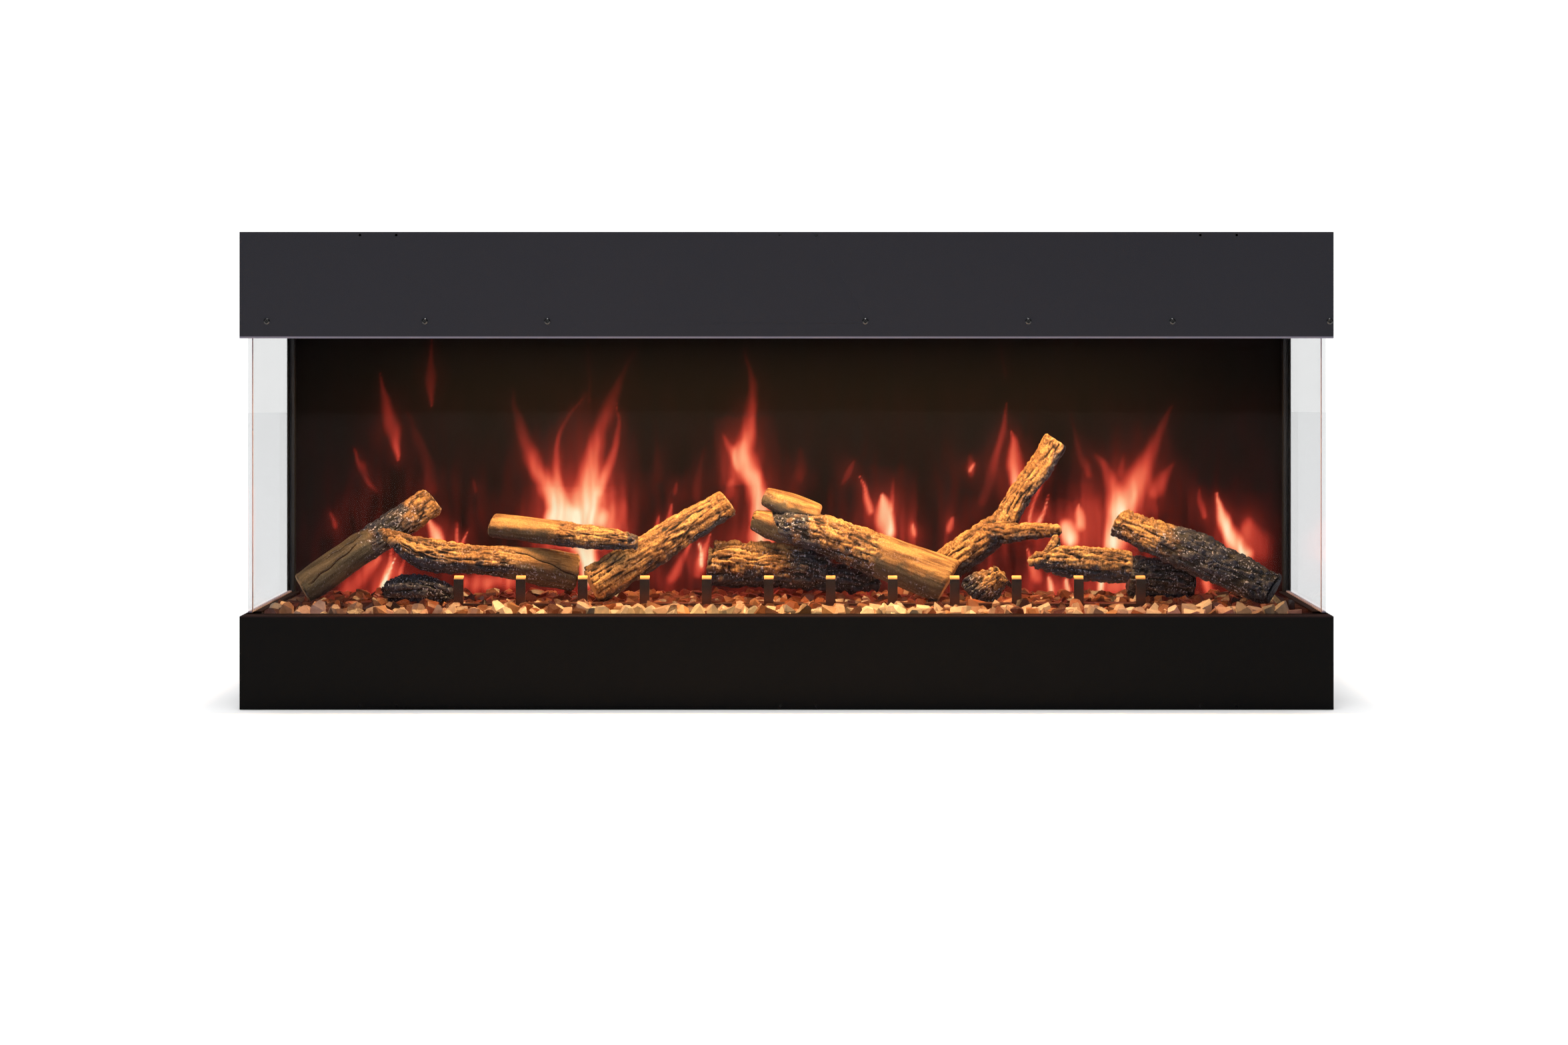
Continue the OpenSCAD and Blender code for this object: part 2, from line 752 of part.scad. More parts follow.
// Reflecting vanes on a sleeve that grips the rod
module rotor_blades() color([0.88, 0.88, 0.9]) difference() {
    union() {
        rod([-638, rotor_y, rotor_z], [538, rotor_y, rotor_z], rod_r + 1.5);
        for (i = [0:9])
            translate([-620 + 116 * i, rotor_y, rotor_z])
                rotate([i * 34, 0, 0]) {
                    span([0, -0.5, -vane_r], [96, 0.5, vane_r]);
                    span([0, -vane_r * 0.8, -0.5], [96, vane_r * 0.8, 0.5]);
                }
    }
    rod([-660, rotor_y, rotor_z], [560, rotor_y, rotor_z], rod_r);
}

// Folded upright with its foot to one side and a hole for the shaft
module stand(x, foot) difference() {
    union() {
        span([x - 1, rotor_y - 14, sheet], [x + 1, rotor_y + 14, 110]);
        span([x + min(foot, 0), rotor_y - 14, sheet],
             [x + max(foot, 0), rotor_y + 14, 2 * sheet]);
    }
    rod([x - 2, rotor_y, rotor_z], [x + 2, rotor_y, rotor_z], 6);
}

module rotor_brackets() color([0.6, 0.6, 0.62]) {
    stand(-646, -14);
    stand(546, 14);
    stand(577, 14);
}

module rotor_bushes() color([0.75, 0.6, 0.3])
    for (x = [-646, 546]) difference() {
        rod([x - 3, rotor_y, rotor_z], [x + 3, rotor_y, rotor_z], 6);
        rod([x - 4, rotor_y, rotor_z], [x + 4, rotor_y, rotor_z],
            rod_r + fit);
    }

module rotor_motor() color([0.65, 0.66, 0.68]) difference() {
    union() {
        rod([578, rotor_y, rotor_z], [600, rotor_y, rotor_z], 24.5);
        span([578, rotor_y - 31, rotor_z - 6],
             [580, rotor_y + 31, rotor_z + 6]);
    }
    rod([570, rotor_y, rotor_z], [590, rotor_y, rotor_z], rod_r + fit);
}

module rotor_coupling() color([0.1, 0.1, 0.1]) difference() {
    rod([551, rotor_y, rotor_z], [572, rotor_y, rotor_z], 7);
    rod([550, rotor_y, rotor_z], [573, rotor_y, rotor_z], rod_r);
}

// ---------------------------------------------------------------- assembly

base_pan();
lower_fascia();
upper_fascia();
top_cover();
back_panel();
rear_side_left();
rear_side_right();
side_channels();
front_glass();
side_glass_left();
side_glass_right();
glass_seals();
glass_track();
glass_shoe();
outlet_grille();
fascia_screws();
firebox_ceiling();
canopy_lens();
canopy_light();
media_tray();
tray_rails();
media_bed();
ember_light();
log_grate();
log_left_long();
log_left_split();
log_char_left();
log_top_left();
log_centre_left();
log_char_block();
log_centre_right();
log_forked();
log_chip_right();
log_bark_slab();
log_char_right();
log_right_long();
flame_screen();
flame_cutout();
rotor_rod();
rotor_blades();
rotor_brackets();
rotor_bushes();
rotor_motor();
rotor_coupling();
flame_light();
heater_housing();
blower_wheel();
blower_motor();
heating_element();
thermal_cutout();
control_board();
control_panel();
power_rocker();
heat_button();
flame_button();
junction_box();
junction_cover();
cable_gland();
case_screws();
wiring_harness();
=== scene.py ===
"""The visual model of a three-sided electric fireplace: glass, logs, stones and a lit flame screen.

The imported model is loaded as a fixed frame. Its sheet metal, panes and machinery keep their own
shapes and are dressed here. The logs, the stones and the flame screen are made new.
"""

import logging
import math
from contextlib import contextmanager
from dataclasses import dataclass
from enum import Enum
from typing import Any, Callable, ClassVar, Iterator, Optional, Union

import bmesh
import bpy
import numpy as np
from mathutils import Matrix, Vector, noise


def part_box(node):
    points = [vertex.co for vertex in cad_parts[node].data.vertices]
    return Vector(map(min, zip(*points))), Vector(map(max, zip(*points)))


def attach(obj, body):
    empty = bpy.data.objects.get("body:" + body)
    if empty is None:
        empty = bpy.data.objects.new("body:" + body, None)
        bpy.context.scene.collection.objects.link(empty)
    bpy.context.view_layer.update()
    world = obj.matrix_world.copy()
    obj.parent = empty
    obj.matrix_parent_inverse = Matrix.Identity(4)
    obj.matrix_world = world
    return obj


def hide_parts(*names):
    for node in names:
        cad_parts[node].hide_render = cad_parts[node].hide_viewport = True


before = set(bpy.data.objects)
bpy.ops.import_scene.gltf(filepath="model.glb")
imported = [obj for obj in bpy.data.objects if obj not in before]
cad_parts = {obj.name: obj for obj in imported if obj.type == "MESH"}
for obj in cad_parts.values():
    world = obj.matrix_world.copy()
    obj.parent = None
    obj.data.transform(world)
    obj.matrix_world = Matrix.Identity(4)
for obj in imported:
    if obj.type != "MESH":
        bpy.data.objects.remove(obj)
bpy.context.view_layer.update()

LOG = logging.getLogger("fireplace")
MM = 0.001
CASING = "casing"

Colour = tuple[float, float, float, float]
Point = tuple[float, float, float]
Input = Union["Signal", float, tuple]


def shade(red: float, green: float, blue: float) -> Colour:
    """Returns an opaque colour."""
    return (red, green, blue, 1.0)


# ------------------------------------------------------------------ shader maths


class Signal:
    """One node output. Sums, differences, products and powers of signals add Math nodes."""

    def __init__(self, shader: "Shader", socket: bpy.types.NodeSocket) -> None:
        """Keeps the socket and the shader that it belongs to."""
        self.shader = shader
        self.socket = socket

    def __add__(self, other: Input) -> "Signal":
        """Returns self + other."""
        return self.shader.math("ADD", self, other)

    def __sub__(self, other: Input) -> "Signal":
        """Returns self - other."""
        return self.shader.math("SUBTRACT", self, other)

    def __rsub__(self, other: Input) -> "Signal":
        """Returns other - self."""
        return self.shader.math("SUBTRACT", other, self)

    def __mul__(self, other: Input) -> "Signal":
        """Returns self * other."""
        return self.shader.math("MULTIPLY", self, other)

    def __pow__(self, other: Input) -> "Signal":
        """Returns self to the power of other."""
        return self.shader.math("POWER", self, other)

    __radd__ = __add__

    def wave(self) -> "Signal":
        """Returns the sine of self, brought into 0 to 1."""
        return self.shader.math("SINE", self) * 0.5 + 0.5

    def rise(self, low: float, high: float) -> "Signal":
        """Returns a smooth step of self.

        Args:
            low: where the step is 0.
            high: where the step is 1.

        Returns:
            A signal between 0 and 1.
        """
        if low > high:
            return 1.0 - self.rise(high, low)
        return self.shader.node(
            "ShaderNodeMapRange",
            {"interpolation_type": "SMOOTHSTEP", "clamp": True},
            {"Value": self, "From Min": low, "From Max": high},
        )


class Shader:
    """One material, with the ways to make its nodes."""

    def __init__(self, name: str) -> None:
        """Starts an empty material of that name."""
        self.material = bpy.data.materials.new(f"{name}_finish")
        self.material.use_nodes = True
        self.tree = self.material.node_tree
        self.tree.nodes.clear()

    def node(
        self,
        kind: str,
        settings: Optional[dict[str, Any]] = None,
        inputs: Optional[dict[Union[str, int], Input]] = None,
        output: Union[str, int] = 0,
    ) -> Signal:
        """Makes a node.

        Args:
            kind: the node's type.
            settings: its settings, set first. "stops" fills a colour ramp.
            inputs: values or signals for its sockets, by name or number.
            output: the socket that is returned.

        Returns:
            The chosen output.
        """
        made = self.tree.nodes.new(kind)
        for key, value in (settings or {}).items():
            if key == "stops":
                for _ in value[2:]:
                    made.color_ramp.elements.new(0.5)
                for stop, (place, colour) in zip(made.color_ramp.elements, value):
                    stop.position = place
                    stop.color = colour
            else:
                setattr(made, key, value)
        for key, value in (inputs or {}).items():
            if isinstance(value, Signal):
                self.tree.links.new(value.socket, made.inputs[key])
            else:
                made.inputs[key].default_value = value
        return Signal(self, made.outputs[output])

    def math(self, operation: str, *values: Input) -> Signal:
        """Returns a Math node's value."""
        return self.node("ShaderNodeMath", {"operation": operation}, dict(enumerate(values)))

    def place(self) -> Signal:
        """Returns the place on the piece, in metres."""
        return self.node("ShaderNodeTexCoord", output="Object")

    def axis(self, name: str) -> Signal:
        """Returns one coordinate of the place, "X", "Y" or "Z"."""
        return self.node("ShaderNodeSeparateXYZ", inputs={0: self.place()}, output=name)

    def band(self, low: float, high: float, edge: float) -> Signal:
        """Returns 1 between two heights and 0 outside them.

        Args:
            low: the lower height in metres.
            high: the upper height in metres.
            edge: how wide the soft edge beyond each is, in metres.
        """
        height = self.axis("Z")
        return height.rise(low - edge, low) * height.rise(high + edge, high)

    def stretched(self, scale: Point, source: Optional[Signal] = None) -> Signal:
        """Returns the place, or another vector, with each coordinate scaled."""
        return self.node(
            "ShaderNodeMapping", {}, {"Vector": source or self.place(), "Scale": scale}
        )

    def clouds(
        self, scale: float, detail: float = 2.0, rough: float = 0.5, source: Optional[Signal] = None
    ) -> Signal:
        """Returns fractal noise between 0 and 1.

        Args:
            scale: features per metre.
            detail: octaves.
            rough: how strong the finer octaves are.
            source: where it is read, the place if left out.
        """
        return self.node(
            "ShaderNodeTexNoise",
            {},
            {"Vector": source or self.place(), "Scale": scale, "Detail": detail, "Roughness": rough},
        )

    def cells(self, scale: float, feature: str = "F1", source: Optional[Signal] = None) -> Signal:
        """Returns the distance pattern of scattered cells, of that many to the metre."""
        return self.node(
            "ShaderNodeTexVoronoi",
            {"feature": feature},
            {"Vector": source or self.place(), "Scale": scale},
        )

    def data(self, name: str, output: str = "Fac") -> Signal:
        """Returns one of the mesh's own attributes."""
        return self.node("ShaderNodeAttribute", {"attribute_name": name}, output=output)

    def mix(self, factor: Input, first: Input, second: Input) -> Signal:
        """Returns a colour between two. The node's colour sockets are 6 and 7, its result is 2."""
        return self.node("ShaderNodeMix", {"data_type": "RGBA"}, {0: factor, 6: first, 7: second}, 2)

    def tint(self, colour: Input, amount: Input) -> Signal:
        """Returns a colour made darker or lighter by a number."""
        plain = colour[:3] if isinstance(colour, tuple) else colour
        return self.node(
            "ShaderNodeVectorMath", {"operation": "SCALE"}, {0: plain, "Scale": amount}
        )

    def bump(self, height: Input, strength: float, depth: float) -> Signal:
        """Returns a normal for a height, with the relief's depth in metres."""
        return self.node(
            "ShaderNodeBump", {}, {"Height": height, "Strength": strength, "Distance": depth}
        )

    def principled(self, **sockets: Input) -> Signal:
        """Returns a surface. Sockets are named with underscores for spaces."""
        named = {key.replace("_", " "): value for key, value in sockets.items()}
        return self.node("ShaderNodeBsdfPrincipled", {}, named)

    def wear(self, surface: Signal) -> bpy.types.Material:
        """Ends the material with a surface, and returns it."""
        out = self.tree.nodes.new("ShaderNodeOutputMaterial")
        self.tree.links.new(surface.socket, out.inputs["Surface"])
        return self.material


# ---------------------------------------------------------------------- finishes


class Finish:
    """A finish of the fireplace. Each kind makes its own material."""

    name: str

    def make(self) -> bpy.types.Material:
        """Returns a new material of this finish."""
        raise NotImplementedError

    def material(self) -> bpy.types.Material:
        """Returns the finish's material, made once."""
        return bpy.data.materials.get(f"{self.name}_finish") or self.make()


@dataclass(frozen=True)
class PowderCoat(Finish):
    """Baked powder paint on folded steel: a fine dry grain with faint handling marks.

    The painted highlight on the folded edge is a band of another colour between two heights,
    out of reach if left out.
    """

    name: str
    colour: Colour
    grain: float = 1100.0
    roughness: float = 0.5
    specular: float = 0.35
    fold_highlight: tuple[float, float] = (-1.0, -0.9)
    fold_highlight_colour: Colour = shade(0.24, 0.22, 0.28)

    def make(self) -> bpy.types.Material:
        """Returns a new material of this finish."""
        s = Shader(self.name)
        # Painted highlight: a lighter band along the folded edge, between two heights
        fold_highlight = s.band(*self.fold_highlight, edge=0.0004)
        grain = s.clouds(self.grain, 2.0, 0.6)
        broad = s.clouds(3.0, 3.0)
        marks = s.clouds(40.0, 4.0, 0.7, s.stretched((0.3, 0.3, 2.2)))
        tone = 0.78 + grain * 0.34 + broad * 0.1
        rough = self.roughness - 0.08 + grain * 0.12 + marks.rise(0.62, 0.8) * 0.08
        return s.wear(
            s.principled(
                Base_Color=s.mix(fold_highlight, s.tint(self.colour, tone), self.fold_highlight_colour),
                Roughness=rough,
                Specular_IOR_Level=self.specular,
                Normal=s.bump(grain, 0.35, 0.0002),
            )
        )


@dataclass(frozen=True)
class Steel(Finish):
    """Bare or plated sheet and turned metal, with rolling lines or zinc flakes."""

    name: str
    colour: Colour
    roughness: float = 0.38
    flakes: float = 0.0
    lines: float = 1.0

    def make(self) -> bpy.types.Material:
        """Returns a new material of this finish."""
        s = Shader(self.name)
        rolled = s.clouds(60.0, 4.0, 0.7, s.stretched((0.12, 3.0, 9.0)))
        spangle = s.node(
            "ShaderNodeTexVoronoi", {}, {"Vector": s.place(), "Scale": 90.0}, "Color"
        )
        flake = s.node("ShaderNodeSeparateColor", inputs={0: spangle}) * self.flakes
        dust = s.clouds(9.0, 4.0, 0.6)
        tone = 0.86 + rolled * 0.16 * self.lines + flake * 0.14 - dust.rise(0.5, 0.85) * 0.12
        return s.wear(
            s.principled(
                Base_Color=s.tint(self.colour, tone),
                Metallic=0.9,
                Roughness=self.roughness + rolled * 0.12 - flake * 0.12 + dust * 0.08,
                Normal=s.bump(rolled + flake, 0.12, 0.0002),
            )
        )


@dataclass(frozen=True)
class Moulded(Finish):
    """Moulded plastic or rubber with a spark-eroded texture."""

    name: str
    colour: Colour
    roughness: float = 0.45
    texture: float = 900.0
    specular: float = 0.5

    def make(self) -> bpy.types.Material:
        """Returns a new material of this finish."""
        s = Shader(self.name)
        spark = s.cells(self.texture)
        dust = s.clouds(30.0, 3.0, 0.6)
        return s.wear(
            s.principled(
                Base_Color=s.tint(self.colour, 0.85 + dust * 0.3),
                Roughness=self.roughness + spark * 0.15 + dust * 0.08,
                Specular_IOR_Level=self.specular,
                Normal=s.bump(spark, 0.2, 0.0002),
            )
        )


@dataclass(frozen=True)
class Pane(Finish):
    """Clear sheet that lets most light through, with a mirror skin that grows at a glance."""

    name: str
    tint: Colour
    gloss: float = 0.4
    haze: float = 0.02

    def make(self) -> bpy.types.Material:
        """Returns a new material of this finish."""
        s = Shader(self.name)
        smears = s.clouds(7.0, 4.0, 0.65, s.stretched((1.0, 1.0, 0.5))).rise(0.45, 0.85)
        clear = s.node("ShaderNodeBsdfTransparent", {}, {"Color": self.tint})
        mirror = s.node(
            "ShaderNodeBsdfGlossy", {}, {"Color": shade(0.95, 0.97, 1.0), "Roughness": 0.02}
        )
        glance = s.node("ShaderNodeFresnel", {}, {"IOR": 1.45})
        share = glance * self.gloss * (0.85 + smears * 0.15) + smears * self.haze * 0.1
        return s.wear(s.node("ShaderNodeMixShader", {}, {0: share, 1: clear, 2: mirror}))


@dataclass(frozen=True)
class Lens(Finish):
    """Opal lens lit from behind, with moulded ribs."""

    name: str
    colour: Colour
    glow: Colour
    strength: float

    # Waves in radians to the metre: ribs 4 mm apart, diodes 42 mm apart
    RIBS: ClassVar[float] = 1570.0
    DIODES: ClassVar[float] = 149.6

    def make(self) -> bpy.types.Material:
        """Returns a new material of this finish."""
        s = Shader(self.name)
        ribs = (s.axis("X") * self.RIBS).wave()
        spots = (s.axis("X") * self.DIODES).wave() ** 2.0
        return s.wear(
            s.principled(
                Base_Color=s.tint(self.colour, 0.92 + ribs * 0.08),
                Roughness=0.35 + ribs * 0.1,
                Emission_Color=s.tint(self.glow, 0.55 + spots * 0.45),
                Emission_Strength=self.strength,
                Normal=s.bump(ribs, 0.3, 0.0003),
            )
        )


@dataclass(frozen=True)
class LitBoard(Finish):
    """A white-painted section with a row of coloured diode caps on its shelf."""

    name: str
    colour: Colour
    cap: Colour
    cap_low: float
    cap_high: float

    def make(self) -> bpy.types.Material:
        """Returns a new material of this finish."""
        s = Shader(self.name)
        caps = s.band(self.cap_low, self.cap_high, edge=0.0001)
        grain = s.clouds(500.0)
        return s.wear(
            s.principled(
                Base_Color=s.mix(caps, s.tint(self.colour, 0.85 + grain * 0.25), self.cap),
                Roughness=0.55 - caps * 0.3,
                Normal=s.bump(grain, 0.15, 0.0002),
            )
        )


@dataclass(frozen=True)
class CircuitBoard(Finish):
    """Green board with copper tracks below, and dark and bright parts above it."""

    name: str
    board_low: float
    board_high: float

    def make(self) -> bpy.types.Material:
        """Returns a new material of this finish."""
        s = Shader(self.name)
        board = s.band(self.board_low, self.board_high, edge=0.0002)
        tracks = s.cells(160.0, "DISTANCE_TO_EDGE", s.stretched((1.0, 0.4, 1.0))).rise(0.08, 0.05)
        tops = s.clouds(25.0, 0.0).rise(0.48, 0.52)
        mask = s.mix(tracks * 0.6, shade(0.012, 0.13, 0.045), shade(0.05, 0.28, 0.1))
        parts = s.mix(tops, shade(0.02, 0.02, 0.022), shade(0.05, 0.07, 0.16))
        return s.wear(
            s.principled(
                Base_Color=s.mix(board, parts, mask),
                Roughness=0.5 - board * 0.2,
                Normal=s.bump(tracks, 0.3, 0.0002),
            )
        )


@dataclass(frozen=True)
class GrateBronze(Finish):
    """Heat-browned steel of the posts: dark, with a copper bloom and a painted highlight on the tips."""

    name: str
    strip_z: float
    tip_z: float

    def make(self) -> bpy.types.Material:
        """Returns a new material of this finish."""
        s = Shader(self.name)
        bloom = s.clouds(70.0, 4.0, 0.7)
        scale = s.clouds(600.0, 2.0, 0.6)
        # Painted highlight: bright bronze on the sloped tips
        tip = s.axis("Z").rise(self.tip_z - 0.004, self.tip_z)
        low = s.axis("Z").rise(self.tip_z - 0.006, self.strip_z)
        brown = s.mix(bloom.rise(0.35, 0.7), shade(0.01, 0.006, 0.004), shade(0.035, 0.016, 0.009))
        copper = s.mix(low * 0.5, brown, shade(0.11, 0.03, 0.018))
        return s.wear(
            s.principled(
                Base_Color=s.mix(tip, copper, shade(0.55, 0.34, 0.14)),
                Metallic=0.35,
                Roughness=0.42 + scale * 0.18,
                Normal=s.bump(scale, 0.25, 0.0003),
            )
        )


class LogFinish(Finish):
    """Cast log: bark, split grain, char, ash and painted shade, all from the log's own attributes."""

    name = "log_cast"

    # Growth rings in radians to the metre, 2.4 mm apart
    RINGS = 2600.0

    def make(self) -> bpy.types.Material:
        """Returns a new material of this finish."""
        s = Shader(self.name)
        grain_place = s.data("log_place", "Vector")
        relief = s.data("relief")
        # char holds the char and, on the undersides, painted shade
        char = s.data("char")
        split = s.data("split")
        sawn = s.data("sawn")
        ash = s.data("ash")
        fine = s.clouds(420.0, 3.0, 0.65, grain_place)
        streak = s.clouds(110.0, 4.0, 0.7, s.stretched((0.09, 1.0, 1.0), grain_place))
        patch = s.clouds(22.0, 3.0, 0.6, grain_place)
        # grey holds the log's given grey and a painted shade that grows towards the underside
        grey = s.data("grey")
        bark_high = s.mix(patch.rise(0.35, 0.68), shade(0.32, 0.16, 0.052), shade(0.62, 0.37, 0.14))
        bark_mid = s.mix((streak * 0.6 + fine * 0.4).rise(0.36, 0.6), shade(0.1, 0.045, 0.015), bark_high)
        # Painted shade: the bark darkens where its relief is low, nearly black in the deepest furrows
        bark_shaded_low = s.mix(relief.rise(0.34, 0.7), shade(0.15, 0.07, 0.025), bark_mid)
        bark = s.mix(relief.rise(0.16, 0.42), shade(0.01, 0.005, 0.003), bark_shaded_low)
        pale = s.mix(streak.rise(0.36, 0.62), shade(0.12, 0.052, 0.018), shade(0.46, 0.27, 0.1))
        # Grey-green wood: stale wood, and painted shade where the grey mask grows below
        stale_and_under_shade = s.mix(streak.rise(0.34, 0.66), shade(0.03, 0.028, 0.02), shade(0.1, 0.095, 0.068))
        wood = s.mix(grey, s.mix(patch.rise(0.5, 0.75) * 0.5, pale, shade(0.28, 0.16, 0.07)), stale_and_under_shade)
        rings = (
            s.node("ShaderNodeVectorMath", {"operation": "LENGTH"},
                   {0: s.stretched((0.0, 1.0, 1.0), grain_place)}, "Value")
            * self.RINGS + streak * 5.0
        ).wave()
        cut = s.mix(rings, shade(0.36, 0.21, 0.09), shade(0.6, 0.42, 0.22))
        # Painted shade: split wood and sawn ends darken where their relief is low, in cracks and furrows
        coat = s.mix(split, bark, s.mix(relief.rise(0.2, 0.5), shade(0.03, 0.014, 0.007), wood))
        coat = s.mix(sawn, coat, s.mix(relief.rise(0.1, 0.4), shade(0.05, 0.03, 0.02), cut))
        # Soot, with painted shade: char is darkest where its relief is low
        soot_and_furrow_shade = s.mix(relief.rise(0.3, 0.9), shade(0.003, 0.003, 0.004), shade(0.028, 0.032, 0.056))
        burnt = s.mix(char, coat, soot_and_furrow_shade)
        crust = relief.rise(0.34, 0.46) * relief.rise(0.66, 0.5) * 0.12
        fleck = ash * (fine * 0.9 + relief * 0.1 + patch * 0.1 + crust).rise(0.68, 0.78)
        return s.wear(
            s.principled(
                Base_Color=s.mix(
                    fleck, s.tint(burnt, 0.45 + fine * 1.1), shade(0.5, 0.53, 0.7)
                ),
                Roughness=0.62 + fine * 0.2 - char * 0.14,
                Specular_IOR_Level=0.4,
                Normal=s.bump(fine * 0.7 + streak * 0.3, 0.8, 0.0018),
            )
        )


class StoneFinish(Finish):
    """Clear and coloured chips over the ember light, each with its own tint and a painted glow."""

    name = "fire_stones"

    def make(self) -> bpy.types.Material:
        """Returns a new material of this finish."""
        s = Shader(self.name)
        own = s.data("stone_colour", "Color")
        # Painted light: the light falling on each chip is painted into its attribute and shown as emission
        glow = s.data("stone_glow", "Color")
        veins = s.clouds(120.0, 4.0, 0.65)
        frost = s.clouds(900.0, 2.0, 0.6)
        return s.wear(
            s.principled(
                Base_Color=s.tint(own, 0.6 + veins * 0.75),
                Roughness=0.16 + frost * 0.3,
                Emission_Color=s.tint(glow, 0.45 + veins * 1.1),
                Emission_Strength=1.0,
                Normal=s.bump(veins + frost * 0.3, 0.35, 0.0012),
            )
        )


class FlameFinish(Finish):
    """Smoked diffusing sheet. The flame picture on it is lit from behind."""

    name = "smoked_screen"

    def make(self) -> bpy.types.Material:
        """Returns a new material of this finish."""
        s = Shader(self.name)
        picture = s.data("flame_light", "Color")
        lick = s.clouds(70.0, 3.0, 0.6, s.stretched((1.0, 1.0, 0.22)))
        grain = s.clouds(800.0, 2.0, 0.6)
        return s.wear(
            s.principled(
                Base_Color=s.tint(shade(0.003, 0.003, 0.003), 0.8 + grain * 0.4),
                Roughness=0.55 + grain * 0.1,
                Specular_IOR_Level=0.03,
                Emission_Color=s.tint(picture, 0.82 + lick * 0.32 + grain * 0.06),
                Emission_Strength=1.0,
                Normal=s.bump(grain, 0.1, 0.0002),
            )
        )


# --------------------------------------------------------------------- modelling


class Kind(Enum):
    """What is picked in edit mode."""

    VERTS = "verts"
    EDGES = "edges"
    FACES = "faces"


def clear_selection() -> None:
    """Deselects every object."""
    bpy.ops.object.select_all(action="DESELECT")


def choose(piece: bpy.types.Object) -> None:
    """Selects one object alone and makes it the active one."""
    clear_selection()
    piece.select_set(True)
    bpy.context.view_layer.objects.active = piece


@contextmanager
def editing(piece: bpy.types.Object) -> Iterator[None]:
    """Opens one piece in edit mode, and closes it afterwards.

    Args:
        piece: the object to work on.
    """
    choose(piece)
    bpy.ops.object.mode_set(mode="EDIT")
    try:
        yield
    finally:
        bpy.ops.object.mode_set(mode="OBJECT")


def pick(kind: Kind, test: Callable[[Any], bool]) -> int:
    """Selects parts of the piece in edit mode.

    Args:
        kind: vertices, edges or faces.
        test: says whether a part is wanted.

    Returns:
        How many were selected.
    """
    mesh = bpy.context.edit_object.data
    shape = bmesh.from_edit_mesh(mesh)
    bpy.context.tool_settings.mesh_select_mode = tuple(kind is k for k in Kind)
    for part in (*shape.verts, *shape.edges, *shape.faces):
        part.select = False
    wanted = [part for part in getattr(shape, kind.value) if test(part)]
    for part in wanted:
        part.select_set(True)
    shape.select_flush_mode()
    bmesh.update_edit_mesh(mesh)
    return len(wanted)


def modify(piece: bpy.types.Object, kind: str, **settings: Any) -> None:
    """Adds a modifier and applies it.

    Args:
        piece: the object.
        kind: the modifier's type.
        settings: its settings.
    """
    modifier = piece.modifiers.new(kind.title(), kind)
    for key, value in settings.items():
        setattr(modifier, key, value)
    bpy.context.view_layer.objects.active = piece
    with bpy.context.temp_override(object=piece, active_object=piece):
        bpy.ops.object.modifier_apply(modifier=modifier.name)


def named(name: str) -> bpy.types.Object:
    """Returns the active object, named and with its mesh named."""
    piece = bpy.context.view_layer.objects.active
    piece.name = name
    piece.data.name = name
    return piece


def points_of(piece: bpy.types.Object, normals: bool = False) -> np.ndarray:
    """Returns the piece's points, or its vertex normals, one to a row."""
    source = piece.data.vertex_normals if normals else piece.data.vertices
    flat = np.empty(len(piece.data.vertices) * 3)
    source.foreach_get("vector" if normals else "co", flat)
    return flat.reshape(-1, 3)


def write_data(piece: bpy.types.Object, name: str, values: np.ndarray) -> None:
    """Writes one attribute over the piece's points.

    Args:
        piece: the object.
        name: the attribute's name.
        values: one number, three or four for each point.
    """
    width = 1 if values.ndim == 1 else values.shape[1]
    kind, field_name = {
        1: ("FLOAT", "value"), 3: ("FLOAT_VECTOR", "vector"), 4: ("FLOAT_COLOR", "color")
    }[width]
    layer = piece.data.attributes.new(name, kind, "POINT")
    layer.data.foreach_set(field_name, values.astype(np.float32).ravel())


def ramp(values: np.ndarray, low: float, high: float) -> np.ndarray:
    """Returns a smooth step of the values, 0 at low and 1 at high, whichever is the larger."""
    part = np.clip((values - low) / (high - low), 0.0, 1.0)
    return part * part * (3.0 - 2.0 * part)


def settle(piece: bpy.types.Object, finish: Finish, slot: str, *nodes: str) -> None:
    """Dresses a finished piece, ties it to the casing and hides the CAD nodes that it replaces.

    Args:
        piece: the object, in its place.
        finish: its finish.
        slot: not used.
        nodes: the CAD nodes that it replaces.
    """
    piece.data.materials.clear()
    piece.data.materials.append(finish.material())
    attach(piece, CASING)
    if nodes:
        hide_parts(*nodes)
    faces = len(piece.data.polygons)
    LOG.info("%s: %d faces, finish %s", piece.name, faces, finish.name)


# -------------------------------------------------------------------------- logs


